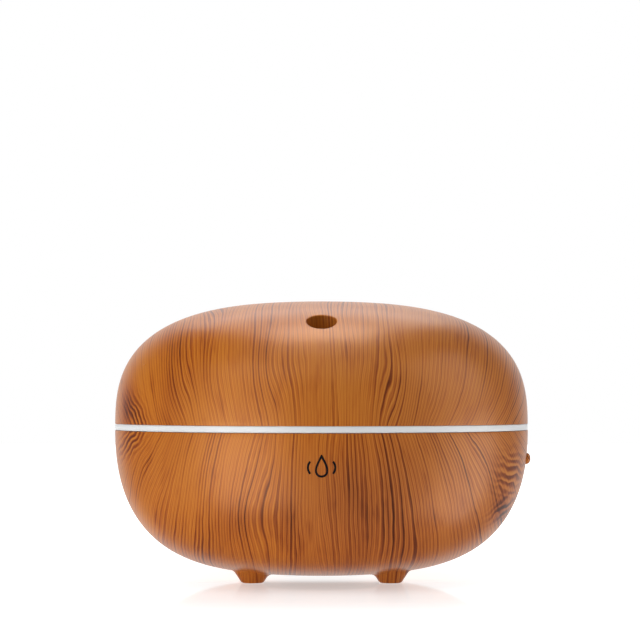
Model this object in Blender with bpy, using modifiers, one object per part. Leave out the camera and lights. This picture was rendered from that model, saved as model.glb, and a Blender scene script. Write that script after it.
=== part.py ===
"""Ultrasonic aroma diffuser: a wide, low pebble in wood-print plastic with a light ring at its waist.

The origin is on the table, on the turning axis of the shells. +Z is up and -Y is the front, where
the mist comes out. Lengths are in metres.
"""

import math

import bmesh
import bpy
from mathutils import Matrix, Vector

MM = 0.001
GAP = 0.3 * MM  # clearance between neighbouring pieces

# Outer form: two superellipses that meet at the light ring.
SHELL_RADIUS = 85 * MM
RING_Z = 62 * MM
UPPER_RISE = 51.3 * MM
UPPER_POWERS = (2.84, 2.74)  # of the radius and of the height
LOWER_DROP = 59.6 * MM
LOWER_POWERS = (3.58, 2.36)
SHELL_WALL = 2.6 * MM
RING_HEIGHT = 2.3 * MM
RING_BOTTOM = RING_Z - RING_HEIGHT / 2
RING_TOP = RING_Z + RING_HEIGHT / 2

# Mist outlet: a bore square to the sloping front of the cover.
OUTLET_RADIUS = 5.95 * MM
OUTLET_REACH = 63.5 * MM  # from the axis to the middle of the outlet
OUTLET_TILT = math.radians(20)
COLLAR_RADIUS = 8.4 * MM
COLLAR_DEPTH = 9 * MM
CHIMNEY_BORE = 6.6 * MM
CHIMNEY_RADIUS = 8.2 * MM
SEAL_BORE = 6.3 * MM
SEAL_THICK = 1.5 * MM

# Inner cover: drip skirt, flange and dome.
SKIRT_RADIUS = 65.8 * MM
SKIRT_BOTTOM = 57.5 * MM
FLANGE_BOTTOM = 67.4 * MM
FLANGE_TOP = 69 * MM
DOME_RISE = 21 * MM
DOME_POWERS = (2.2, 2.2)
LINER_WALL = 1.7 * MM
LINER_FLANGE_RADIUS = 81.4 * MM
LINER_SCREW_REACH = 78 * MM
LINER_SCREW_ANGLES = (90, 210, 330)
LINER_POST_RADIUS = 2.6 * MM
LINER_POST_TOP_Z = 85.5 * MM  # inside the cover's wall
PILOT_RADIUS = 1.1 * MM  # of the holes that the M2 screws bite into

# Light ring: a band, with a lip that both shells go round and a ledge that carries the tank.
RING_LIP_OUTER = 81.6 * MM
RING_LIP_INNER = 79.4 * MM
RING_LIP_TOP_Z = 65.4 * MM
RING_LIP_BOTTOM_Z = 57.8 * MM
RING_LEDGE_RADIUS = 77.5 * MM

# Water tank.
TANK_RIM_Z = 59.6 * MM
TANK_FLANGE_Z = 58 * MM
TANK_FLANGE_RADIUS = 79 * MM
TANK_FLOOR_Z = 36.2 * MM
TANK_UNDERSIDE_Z = 34 * MM
TANK_WALL_FOOT = (59.4 * MM, 43.2 * MM)  # centre of the rounding from its floor to its wall
TANK_WALL_OUTER = 69.4 * MM
TANK_WALL_INNER = 66.8 * MM
DISC_HOLE_RADIUS = 8.2 * MM
DISC_HOUSING_OUTER = 17.5 * MM
DISC_HOUSING_INNER = 12.4 * MM
DISC_HOUSING_BOTTOM_Z = 30.2 * MM
CLAMP_SCREW_REACH = 15 * MM
DUCT_X = -47 * MM
DUCT_BORE = 7 * MM
DUCT_RADIUS = 8.5 * MM
DUCT_TOP_Z = 63 * MM
POST_BOTTOM_Z = 8.3 * MM
POST_RADIUS = 3.6 * MM
STANDOFF_RADIUS = 2.6 * MM

# Feet and underside.
FOOT_SPACING = 27.5 * MM  # of each foot from both middle planes
FOOT_RADIUS = 4.4 * MM
FOOT_SLOPE = math.radians(33)
FOOT_BOTTOM_Z = 0.5 * MM
PAD_RADIUS = 3.1 * MM
PAD_HEIGHT = 1.6 * MM
INNER_FLOOR_Z = 6.4 * MM
LEDGE_Z = 4.4 * MM
INLET_RADIUS = 19 * MM
REBATE_RADIUS = 26.5 * MM
PLATE_SCREW_X = 23 * MM

# Fan, on the inner floor.
FAN_SIDE = 40 * MM
FAN_HEIGHT = 10 * MM
FAN_BOTTOM_Z = INNER_FLOOR_Z + GAP
FAN_BORE = 18.6 * MM
FAN_HOLE_REACH = 16 * MM
BLADE_COUNT = 7

# Driver board, behind the fan.
BOARD_MIDDLE = Vector((0, 46 * MM, 20.8 * MM))
BOARD_SIZE = Vector((52 * MM, 28 * MM, 1.6 * MM))
BOARD_TOP_Z = BOARD_MIDDLE.z + BOARD_SIZE.z / 2 + GAP
BOARD_SCREWS = ((-22.5 * MM, 36 * MM), (22.5 * MM, 36 * MM))
SOCKET_Y = 36 * MM
SOCKET_SIZE = Vector((34 * MM, 4.5 * MM, 5.7 * MM))

# Power inlet, at the back.
JACK_Z = 27.4 * MM
JACK_MIDDLE_Y = 63.8 * MM
JACK_FACE_Y = 78 * MM
JACK_NOSE_RADIUS = 4.6 * MM
JACK_BORE = 2.85 * MM
JACK_PIN_RADIUS = 1.05 * MM
JACK_HOLE_RADIUS = 5.1 * MM

# Buttons, on the right.
BUTTON_Z = 49 * MM
BUTTON_SPACING = 6 * MM
BUTTON_WIDTH = 9 * MM
BUTTON_HEIGHT = 4.5 * MM
BUTTON_FACE_X = 86.1 * MM
BUTTON_FLANGE_BACK_X = 77.9 * MM
BUTTON_FLANGE_FRONT_X = 80.2 * MM
BUTTON_STEM_RADIUS = 1.5 * MM
SWITCH_FRONT_X = 76.2 * MM
BUTTON_BOARD_X = 71 * MM
BUTTON_BOARD_THICK = 1.2 * MM
BUTTON_ARM_Y = 14.5 * MM

# Light ring's lamps.
LED_BOARD_Z = 54.7 * MM
LED_BOARD_THICK = 1.2 * MM
LED_REACH = 75.5 * MM
LED_COUNT = 6
LED_POST_ANGLES = (60, 180, 300)

SHELL_STEPS = 48  # facets round the outer pieces
INNER_STEPS = 36  # and round the large pieces inside
SMALL_STEPS = 16


# ---------------------------------------------------------------- scene and materials


def clear_scene():
    for obj in list(bpy.data.objects):
        bpy.data.objects.remove(obj)


def new_collection(name):
    collection = bpy.data.collections.new(name)
    bpy.context.scene.collection.children.link(collection)
    return collection


clear_scene()
PARTS = new_collection("aroma_diffuser")
HELPERS = new_collection("cutters_and_additions")


def material(name, colour, roughness, metallic=0.0):
    made = bpy.data.materials.new(name)
    made.use_nodes = True
    shader = made.node_tree.nodes["Principled BSDF"]
    shader.inputs["Base Color"].default_value = (*colour, 1)
    shader.inputs["Roughness"].default_value = roughness
    shader.inputs["Metallic"].default_value = metallic
    made.diffuse_color = (*colour, 1)
    return made


WOOD_PRINT = material("wood_print", (0.46, 0.17, 0.04), 0.35)
FROSTED = material("frosted_acrylic", (0.80, 0.84, 0.88), 0.30)
WHITE_PLASTIC = material("white_plastic", (0.82, 0.81, 0.78), 0.45)
BROWN_PLASTIC = material("brown_plastic", (0.24, 0.10, 0.04), 0.55)
BLACK_PLASTIC = material("black_plastic", (0.02, 0.02, 0.02), 0.50)
SILICONE = material("silicone", (0.70, 0.70, 0.68), 0.60)
CIRCUIT_BOARD = material("circuit_board", (0.02, 0.16, 0.06), 0.40)
STEEL = material("steel", (0.60, 0.60, 0.62), 0.30, 1.0)
ALUMINIUM = material("aluminium", (0.70, 0.71, 0.72), 0.40, 1.0)
COPPER = material("copper", (0.72, 0.30, 0.12), 0.35, 1.0)
CERAMIC = material("ceramic_disc", (0.75, 0.74, 0.70), 0.35)
LAMP = material("lamp", (0.85, 0.78, 0.45), 0.25)
CABLE = material("lead_cover", (0.55, 0.05, 0.04), 0.50)


# ---------------------------------------------------------------- modelling tools


def add_object(name, data, finish, helper=False):
    obj = bpy.data.objects.new(name, data)
    (HELPERS if helper else PARTS).objects.link(obj)
    if helper:
        obj.hide_render = True
        obj.display_type = "WIRE"
    elif finish:
        data.materials.append(finish)
    return obj


def mesh_from(bm, name):
    mesh = bpy.data.meshes.new(name)
    bm.to_mesh(mesh)
    bm.free()
    return mesh


def turned(name, profile, finish, closed=False, steps=SHELL_STEPS, helper=False):
    """A body turned about Z from (radius, height) points that run down its outer side."""
    mesh = bpy.data.meshes.new(name)
    edges = [(i, i + 1) for i in range(len(profile) - 1)]
    if closed:
        edges.append((len(profile) - 1, 0))
    mesh.from_pydata([(r, 0, z) for r, z in profile], edges, [])
    obj = add_object(name, mesh, finish, helper)
    screw = obj.modifiers.new("Turn", "SCREW")
    screw.steps = steps
    screw.render_steps = steps
    screw.use_merge_vertices = True
    screw.merge_threshold = 1e-6
    screw.use_smooth_shade = True
    return obj


def ring_section(inner, outer, low, high):
    """The closed profile of a plain ring."""
    return [(outer, high), (outer, low), (inner, low), (inner, high)]


def rod_profile(radius, low, high):
    """The open profile of a plain cylinder that ends on the axis."""
    return [(0, high), (radius, high), (radius, low), (0, low)]


def rods(name, shapes, finish=None, helper=True):
    """Rods in one mesh. Each shape is (start, end, radius), or also the radius at the end."""
    bm = bmesh.new()
    for start, end, radius, *end_radius in shapes:
        start, end = Vector(start), Vector(end)
        along = end - start
        place = Matrix.Translation((start + end) / 2) @ along.to_track_quat("Z", "Y").to_matrix().to_4x4()
        bmesh.ops.create_cone(
            bm,
            cap_ends=True,
            segments=SMALL_STEPS,
            radius1=radius,
            radius2=end_radius[0] if end_radius else radius,
            depth=along.length,
            matrix=place,
        )
    return add_object(name, mesh_from(bm, name), finish, helper)


def upright_rods(name, places, radius, low, high, helper=True):
    return rods(name, [((x, y, low), (x, y, high), radius) for x, y in places], None, helper)


def boxes(name, shapes, finish=None, helper=True):
    """Boxes in one mesh. Each shape is (centre, size) or (centre, size, turn about Z)."""
    bm = bmesh.new()
    for centre, size, *turn in shapes:
        place = Matrix.Rotation(turn[0] if turn else 0, 4, "Z") @ Matrix.Translation(centre)
        bmesh.ops.create_cube(bm, size=1, matrix=place @ Matrix.Diagonal((*size, 1)))
    return add_object(name, mesh_from(bm, name), finish, helper)


def box(name, centre, size, finish, bevel=0.0):
    obj = boxes(name, [((0, 0, 0), size)], finish, helper=False)
    obj.location = centre
    if bevel:
        round_edges(obj, bevel)
    return obj


def round_edges(obj, width, segments=2):
    bevel = obj.modifiers.new("Round edges", "BEVEL")
    bevel.width = width
    bevel.segments = segments
    bevel.limit_method = "ANGLE"
    bevel.angle_limit = math.radians(50)


def combine(obj, other, operation):
    boolean = obj.modifiers.new(f"{operation.title()} {other.name}", "BOOLEAN")
    boolean.operation = operation
    boolean.solver = "EXACT"
    boolean.object = other


def join(obj, addition):
    combine(obj, addition, "UNION")


def cut(obj, cutter):
    combine(obj, cutter, "DIFFERENCE")


def pill_outline(width, height, steps=6):
    """A flat bar with round ends, as points round its edge."""
    radius = height / 2
    points = []
    for side in (1, -1):
        for i in range(steps + 1):
            angle = math.pi * (i / steps - side / 2)
            centre = side * (width / 2 - radius)
            points.append((centre + radius * math.cos(angle), radius * math.sin(angle)))
    return points


def slab(name, outline, thickness, finish=None, helper=False):
    """A flat outline with thickness, as a mesh in its own XY plane, from a filled 2D curve."""
    curve = bpy.data.curves.new(name, "CURVE")
    curve.dimensions = "2D"
    curve.fill_mode = "BOTH"
    curve.extrude = thickness / 2
    spline = curve.splines.new("POLY")
    spline.points.add(len(outline) - 1)
    for point, (x, y) in zip(spline.points, outline):
        point.co = (x, y, 0, 1)
    spline.use_cyclic_u = True
    drawn = bpy.data.objects.new(name, curve)
    HELPERS.objects.link(drawn)
    graph = bpy.context.evaluated_depsgraph_get()
    mesh = bpy.data.meshes.new_from_object(drawn.evaluated_get(graph))
    bpy.data.objects.remove(drawn)
    bm = bmesh.new()
    bm.from_mesh(mesh)
    bmesh.ops.remove_doubles(bm, verts=bm.verts, dist=1e-6)
    bmesh.ops.recalc_face_normals(bm, faces=bm.faces)
    bm.to_mesh(mesh)
    bm.free()
    return add_object(name, mesh, finish, helper)


def smooth_route(points, spacing):
    """Points along a smooth curve through the given ones, about one spacing apart."""
    route = [Vector(p) for p in points]
    ends = [2 * route[0] - route[1], *route, 2 * route[-1] - route[-2]]
    made = []
    for before, start, end, after in zip(ends, ends[1:], ends[2:], ends[3:]):
        count = max(1, round((end - start).length / spacing))
        for i in range(count):
            t = i / count
            made.append(
                0.5
                * (
                    2 * start
                    + (end - before) * t
                    + (2 * before - 5 * start + 4 * end - after) * t**2
                    + (3 * start - before - 3 * end + after) * t**3
                )
            )
    return [*made, route[-1]]


def lead(name, points, radius=0.9 * MM):
    """An insulated lead along a smooth route."""
    curve = bpy.data.curves.new(name, "CURVE")
    curve.dimensions = "3D"
    curve.bevel_depth = radius
    curve.bevel_resolution = 2
    curve.use_fill_caps = True
    route = smooth_route(points, 4 * radius)
    spline = curve.splines.new("POLY")
    spline.points.add(len(route) - 1)
    for point, place in zip(spline.points, route):
        point.co = (*place, 1)
    return add_object(name, curve, CABLE)


def screw(name, seat, direction, length, head_radius=2.2 * MM, shank_radius=0.8 * MM, head=1.2 * MM):
    """A pan-head screw. seat is where its head bears, and direction is where its point goes."""
    profile = [(0, head), (head_radius * 0.7, head), (head_radius, head * 0.4), (head_radius, 0)]
    profile += [(shank_radius, 0), (shank_radius, -length + shank_radius), (0, -length)]
    obj = turned(name, profile, STEEL, steps=10)
    obj.rotation_mode = "QUATERNION"
    obj.rotation_quaternion = (-Vector(direction)).to_track_quat("Z", "Y")
    obj.location = seat
    return obj


def around(reach, degrees):
    """The x and y of a point on a circle about the axis."""
    angle = math.radians(degrees)
    return reach * math.cos(angle), reach * math.sin(angle)


# ---------------------------------------------------------------- outlines of the shells


def superellipse(radius, height, powers, start, count):
    """(radius, height) points of a quarter from start degrees, near the waist, to the axis."""
    points = []
    for i in range(count + 1):
        t = math.radians(start + (90 - start) * i / count)
        across = max(math.cos(t), 0) ** (2 / powers[0])
        points.append((radius * across, height * math.sin(t) ** (2 / powers[1])))
    points[-1] = (0, height)
    return points


def start_angle(rise, height, powers):
    """The angle at which the superellipse has this height above the waist."""
    return math.degrees(math.asin((height / rise) ** (powers[1] / 2)))


def inner_offset(points, distance):
    """The same outline moved inwards, for points that run from the waist to the axis."""
    made = []
    for i, (r, z) in enumerate(points):
        before, after = points[max(i - 1, 0)], points[min(i + 1, len(points) - 1)]
        along = Vector((after[0] - before[0], after[1] - before[1])).normalized()
        made.append((r - distance * abs(along.y), z - distance * abs(along.x)))
    made[0] = (points[0][0] - distance, points[0][1])
    made[-1] = (0, points[-1][1] - distance)
    return made


def radius_at(points, height):
    """The radius of an outline at a height, by straight lines between its points."""
    for (r0, z0), (r1, z1) in zip(points, points[1:]):
        if min(z0, z1) <= height <= max(z0, z1):
            return r0 + (r1 - r0) * (height - z0) / (z1 - z0)
    raise ValueError("the outline doesn't reach that height")


def corner(middle, radius, first, last, count=4):
    """Points on an arc from first to last degrees."""
    angles = [math.radians(first + (last - first) * i / count) for i in range(count + 1)]
    return [(middle[0] + radius * math.cos(a), middle[1] + radius * math.sin(a)) for a in angles]


def upper_surface_z(radius):
    share = 1 - (radius / SHELL_RADIUS) ** UPPER_POWERS[0]
    return RING_Z + UPPER_RISE * share ** (1 / UPPER_POWERS[1])


OUTLET_AXIS = Vector((0, -math.sin(OUTLET_TILT), math.cos(OUTLET_TILT)))
OUTLET_POINT = Vector((0, -OUTLET_REACH, upper_surface_z(OUTLET_REACH)))


def along_outlet(distance):
    """The point on the outlet's axis this far outside the cover's surface."""
    return OUTLET_POINT + OUTLET_AXIS * distance


# ---------------------------------------------------------------- cover


def build_top_cover():
    rim = RING_TOP + GAP - RING_Z
    start = start_angle(UPPER_RISE, rim, UPPER_POWERS)
    outer = superellipse(SHELL_RADIUS, UPPER_RISE, UPPER_POWERS, start, 12)
    inner = inner_offset(outer, SHELL_WALL)[::2]
    profile = [(r, z + RING_Z) for r, z in outer[::-1] + inner]
    cover = turned("top_cover", profile, WOOD_PRINT)
    posts = [around(LINER_SCREW_REACH, a) for a in LINER_SCREW_ANGLES]
    join(cover, upright_rods("cover_posts", posts, LINER_POST_RADIUS, FLANGE_TOP + GAP, LINER_POST_TOP_Z))
    collar = (along_outlet(-COLLAR_DEPTH), along_outlet(-1.9 * MM), COLLAR_RADIUS, COLLAR_RADIUS - 1.4 * MM)
    join(cover, rods("outlet_collar", [collar]))
    bore = (along_outlet(-COLLAR_DEPTH - 3 * MM), along_outlet(8 * MM), OUTLET_RADIUS)
    cut(cover, rods("outlet_bore", [bore]))
    cut(cover, upright_rods("cover_post_holes", posts, PILOT_RADIUS, 60 * MM, 80 * MM))


def build_inner_cover():
    dome = superellipse(SKIRT_RADIUS, DOME_RISE, DOME_POWERS, 0, 7)
    under = inner_offset(dome, LINER_WALL)
    outside = [(r, z + FLANGE_TOP) for r, z in dome[::-1]]
    flange = [(LINER_FLANGE_RADIUS, FLANGE_TOP), (LINER_FLANGE_RADIUS, FLANGE_BOTTOM)]
    flange.append((SKIRT_RADIUS, FLANGE_BOTTOM))
    skirt = [(SKIRT_RADIUS, SKIRT_BOTTOM), (SKIRT_RADIUS - LINER_WALL, SKIRT_BOTTOM)]
    inside = [(r, z + FLANGE_TOP) for r, z in under]
    liner = turned("inner_cover", outside + flange + skirt + inside, WHITE_PLASTIC, steps=INNER_STEPS)
    top = along_outlet(-COLLAR_DEPTH - SEAL_THICK - 2 * GAP)
    join(liner, rods("chimney", [(along_outlet(-30 * MM), top, CHIMNEY_RADIUS)]))
    cut(liner, rods("chimney_bore", [(along_outlet(-38 * MM), along_outlet(0), CHIMNEY_BORE)]))
    posts = [around(LINER_SCREW_REACH, a) for a in LINER_SCREW_ANGLES]
    cut(liner, upright_rods("liner_screw_holes", posts, PILOT_RADIUS, 60 * MM, 75 * MM))
    for number, (x, y) in enumerate(posts, 1):
        seat = (x, y, FLANGE_BOTTOM - GAP)
        screw(f"liner_screw_{number}", seat, (0, 0, 1), 9 * MM)


def build_outlet_seal():
    section = ring_section(SEAL_BORE, COLLAR_RADIUS, -SEAL_THICK / 2, SEAL_THICK / 2)
    seal = turned("outlet_seal", section, SILICONE, closed=True, steps=SMALL_STEPS)
    seal.location = along_outlet(-COLLAR_DEPTH - GAP - SEAL_THICK / 2)
    seal.rotation_euler = (OUTLET_TILT, 0, 0)


# ---------------------------------------------------------------- light ring and tank


def build_light_ring():
    outer = SHELL_RADIUS - 0.05 * MM
    profile = [
        (RING_LIP_OUTER, RING_LIP_TOP_Z),
        (RING_LIP_OUTER, RING_TOP),
        (outer, RING_TOP),
        (outer, RING_BOTTOM),
        (RING_LIP_OUTER, RING_BOTTOM),
        (RING_LIP_OUTER, RING_LIP_BOTTOM_Z),
        (RING_LIP_INNER, RING_LIP_BOTTOM_Z),
        (RING_LIP_INNER, RING_BOTTOM),
        (RING_LEDGE_RADIUS, RING_BOTTOM),
        (RING_LEDGE_RADIUS, RING_TOP),
        (RING_LIP_INNER, RING_TOP),
        (RING_LIP_INNER, RING_LIP_TOP_Z),
    ]
    turned("light_ring", profile, FROSTED, closed=True)
    play = 0.15 * MM
    inner = RING_LEDGE_RADIUS + 0.2 * MM
    section = ring_section(inner, TANK_FLANGE_RADIUS - 0.2 * MM, TANK_RIM_Z + play, RING_BOTTOM - play)
    turned("tank_gasket", section, SILICONE, closed=True, steps=INNER_STEPS)


def tank_profile():
    underside = [
        (TANK_FLANGE_RADIUS, TANK_RIM_Z),
        (TANK_FLANGE_RADIUS, TANK_FLANGE_Z),
        (TANK_WALL_OUTER, TANK_FLANGE_Z),
        *corner(TANK_WALL_FOOT, 8.4 * MM, 0, -90, 3),
        (DISC_HOUSING_OUTER, TANK_UNDERSIDE_Z),
        (DISC_HOUSING_OUTER, DISC_HOUSING_BOTTOM_Z),
        (DISC_HOUSING_INNER, DISC_HOUSING_BOTTOM_Z),
        (DISC_HOUSING_INNER, TANK_UNDERSIDE_Z),
        (DISC_HOLE_RADIUS, TANK_UNDERSIDE_Z),
    ]
    inside = [
        (DISC_HOLE_RADIUS, TANK_FLOOR_Z),
        *corner(TANK_WALL_FOOT, 7 * MM, -90, 0),
        (TANK_WALL_INNER, TANK_RIM_Z),
    ]
    return underside + inside


def build_water_tank():
    tank = turned("water_tank", tank_profile(), WHITE_PLASTIC, closed=True, steps=INNER_STEPS)
    into_floor = TANK_UNDERSIDE_Z + 1.5 * MM
    feet = foot_places()
    join(tank, upright_rods("tank_posts", feet, POST_RADIUS, POST_BOTTOM_Z, into_floor))
    join(tank, upright_rods("board_standoffs", BOARD_SCREWS, STANDOFF_RADIUS, BOARD_TOP_Z, into_floor))
    join(tank, upright_rods("air_duct", [(DUCT_X, 0)], DUCT_RADIUS, into_floor - 0.7 * MM, DUCT_TOP_Z))
    led_posts = [around(LED_REACH, a) for a in LED_POST_ANGLES]
    low = LED_BOARD_Z + LED_BOARD_THICK + GAP
    join(tank, upright_rods("led_board_posts", led_posts, 2.1 * MM, low, TANK_FLANGE_Z + 0.8 * MM))
    join(tank, upright_rods("led_board_pins", led_posts, 1.0 * MM, LED_BOARD_Z - 0.8 * MM, low + 0.8 * MM))
    cut(tank, upright_rods("air_duct_bore", [(DUCT_X, 0)], DUCT_BORE, 28 * MM, 70 * MM))
    cut(tank, upright_rods("post_holes", feet, 1.6 * MM, 5 * MM, 20 * MM))
    cut(tank, upright_rods("standoff_holes", BOARD_SCREWS, PILOT_RADIUS, 18 * MM, 28 * MM))
    cut(tank, upright_rods("clamp_screw_holes", clamp_screw_places(), 1.0 * MM, 25 * MM, 33.2 * MM))


def build_air_hood():
    outer, inner, low, high = 12.5 * MM, 11 * MM, 59.9 * MM, 70 * MM
    ceiling = high - 1.5 * MM
    profile = [
        (0, high),
        (outer - 2 * MM, high),
        (outer, high - 2 * MM),
        (outer, low),
        (inner, low),
        (inner, ceiling - 0.9 * MM),
        (inner - 1 * MM, ceiling),
        (0, ceiling),
    ]
    hood = turned("air_hood", profile, WHITE_PLASTIC, steps=24)
    hood.location.x = DUCT_X
    reach = (DUCT_RADIUS + GAP + outer - 0.6 * MM) / 2
    width = outer - 0.6 * MM - DUCT_RADIUS - GAP
    ribs = [((reach, 0, 64 * MM), (width, 1.6 * MM, 7 * MM), math.radians(a)) for a in (50, 170, 290)]
    grips = boxes("hood_ribs", ribs)
    grips.location.x = DUCT_X
    join(hood, grips)


def clamp_screw_places():
    return [around(CLAMP_SCREW_REACH, a) for a in (30, 150, 270)]


def build_transducer():
    turned("ultrasonic_disc", rod_profile(10 * MM, 31.6 * MM, 32.8 * MM), CERAMIC, steps=32)
    groove = 10.25 * MM
    gasket = [
        (12.1 * MM, 33.7 * MM),
        (12.1 * MM, 30.6 * MM),
        (8.6 * MM, 30.6 * MM),
        (8.6 * MM, 31.35 * MM),
        (groove, 31.35 * MM),
        (groove, 33.05 * MM),
        (8.6 * MM, 33.05 * MM),
        (8.6 * MM, 33.7 * MM),
    ]
    turned("disc_gasket", gasket, SILICONE, closed=True, steps=32)
    section = ring_section(7 * MM, 17.4 * MM, 28.4 * MM, 29.9 * MM)
    clamp = turned("disc_clamp", section, STEEL, closed=True, steps=32)
    places = clamp_screw_places()
    cut(clamp, upright_rods("clamp_holes", places, PILOT_RADIUS, 27 * MM, 31 * MM))
    for number, (x, y) in enumerate(places, 1):
        screw(f"clamp_screw_{number}", (x, y, 28.1 * MM), (0, 0, 1), 4.6 * MM, 1.9 * MM, 0.75 * MM)


# ---------------------------------------------------------------- lower shell and underside


def foot_places():
    return [(x * FOOT_SPACING, y * FOOT_SPACING) for x, y in ((-1, -1), (1, -1), (1, 1), (-1, 1))]


def build_lower_shell():
    rim = RING_Z - (RING_BOTTOM - GAP)
    start = start_angle(LOWER_DROP, rim, LOWER_POWERS)
    quarter = superellipse(SHELL_RADIUS, LOWER_DROP, LOWER_POWERS, start, 14)
    outer = [(r, RING_Z - z) for r, z in quarter if r > REBATE_RADIUS]
    lowest = RING_Z - radius_height(REBATE_RADIUS)
    inner = [(r, RING_Z - z) for r, z in inner_offset(quarter, SHELL_WALL)[::2]]
    floor_radius = radius_at(inner, INNER_FLOOR_Z)
    bottom = [
        (REBATE_RADIUS, lowest),
        (REBATE_RADIUS, LEDGE_Z),
        (INLET_RADIUS, LEDGE_Z),
        (INLET_RADIUS, INNER_FLOOR_Z),
        (floor_radius, INNER_FLOOR_Z),
    ]
    inside = [p for p in inner if p[1] > INNER_FLOOR_Z + 0.5 * MM][::-1]
    shell = turned("lower_shell", outer + bottom + inside, WOOD_PRINT, closed=True)
    add_feet(shell)
    plate_screws = [(-PLATE_SCREW_X, 0), (PLATE_SCREW_X, 0)]
    join(shell, upright_rods("plate_screw_posts", plate_screws, 2.3 * MM, 5.4 * MM, 10 * MM))
    cut(shell, upright_rods("plate_screw_holes", plate_screws, 1.0 * MM, 3 * MM, 9.2 * MM))
    fan_pins = [(FAN_HOLE_REACH, FAN_HOLE_REACH), (-FAN_HOLE_REACH, -FAN_HOLE_REACH)]
    join(shell, upright_rods("fan_pins", fan_pins, 1.3 * MM, 5.4 * MM, FAN_BOTTOM_Z + FAN_HEIGHT + 1 * MM))
    arms = []
    pins = []
    for y in (-BUTTON_ARM_Y, BUTTON_ARM_Y):
        foot_x = BUTTON_BOARD_X + BUTTON_BOARD_THICK + GAP
        arms.append(((foot_x, y, BUTTON_Z), (81.8 * MM, y, BUTTON_Z), 2 * MM))
        pins.append(((BUTTON_BOARD_X - 1 * MM, y, BUTTON_Z), (foot_x + 1 * MM, y, BUTTON_Z), 1.0 * MM))
    join(shell, rods("button_board_arms", arms))
    join(shell, rods("button_board_pins", pins))
    for side in (-1, 1):
        outline = pill_outline(BUTTON_WIDTH + 2 * GAP, BUTTON_HEIGHT + 2 * GAP)
        window = slab("button_window", outline, 14 * MM, helper=True)
        face_along_x(window)
        window.location = (84 * MM, side * BUTTON_SPACING, BUTTON_Z)
        cut(shell, window)
    cut(shell, rods("jack_hole", [((0, 70 * MM, JACK_Z), (0, 84 * MM, JACK_Z), JACK_HOLE_RADIUS)]))


def radius_height(radius):
    """How far below the waist the lower shell's outside is at a radius."""
    share = 1 - (radius / SHELL_RADIUS) ** LOWER_POWERS[0]
    return LOWER_DROP * share ** (1 / LOWER_POWERS[1])


def add_feet(shell):
    """Cone feet in one piece with the shell, each with a boss inside and a stepped screw hole."""
    top = 6.1 * MM
    spread = FOOT_RADIUS + (top - FOOT_BOTTOM_Z) * math.tan(FOOT_SLOPE)
    edge = 0.6 * MM
    cone = [
        (0, top),
        (spread, top),
        (FOOT_RADIUS + edge * math.tan(FOOT_SLOPE), FOOT_BOTTOM_Z + edge),
        (FOOT_RADIUS - edge * 0.6, FOOT_BOTTOM_Z),
        (0, FOOT_BOTTOM_Z),
    ]
    step = [
        (0, 12 * MM),
        (1.7 * MM, 12 * MM),
        (1.7 * MM, LEDGE_Z),
        (PAD_RADIUS + GAP, LEDGE_Z),
        (PAD_RADIUS + GAP, -1 * MM),
        (0, -1 * MM),
    ]
    places = foot_places()
    for number, (x, y) in enumerate(places, 1):
        foot = turned(f"foot_{number}", cone, None, steps=24, helper=True)
        foot.location = (x, y, 0)
        join(shell, foot)
    join(shell, upright_rods("foot_bosses", places, 4 * MM, 5.6 * MM, POST_BOTTOM_Z - GAP))
    for number, (x, y) in enumerate(places, 1):
        hole = turned(f"foot_hole_{number}", step, None, steps=SMALL_STEPS, helper=True)
        hole.location = (x, y, 0)
        cut(shell, hole)
        profile = rod_profile(PAD_RADIUS, 0, PAD_HEIGHT)
        pad = turned(f"foot_pad_{number}", profile, SILICONE, steps=SMALL_STEPS)
        pad.location = (x, y, 0)
        seat = (x, y, LEDGE_Z - GAP)
        screw(f"shell_screw_{number}", seat, (0, 0, 1), 14 * MM, 2.8 * MM, 1.25 * MM, 2 * MM)


def build_base_plate():
    low, high = 2.7 * MM, LEDGE_Z - GAP
    plate = turned("base_plate", rod_profile(REBATE_RADIUS - GAP, low, high), BROWN_PLASTIC)
    slots = []
    for row in range(-3, 4):
        y = row * 4.6 * MM
        length = 2 * math.sqrt((16.5 * MM) ** 2 - y**2)
        slots.append(((0, y, 3.4 * MM), (length, 2.4 * MM, 4 * MM)))
    cut(plate, boxes("air_slots", slots))
    places = [(-PLATE_SCREW_X, 0), (PLATE_SCREW_X, 0)]
    cut(plate, upright_rods("plate_holes", places, 1.2 * MM, 1 * MM, 6 * MM))
    for number, (x, y) in enumerate(places, 1):
        seat = (x, y, low - 0.15 * MM)
        screw(f"plate_screw_{number}", seat, (0, 0, 1), 6 * MM, 2 * MM, 0.75 * MM, 1.0 * MM)


# ---------------------------------------------------------------- fan


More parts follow.
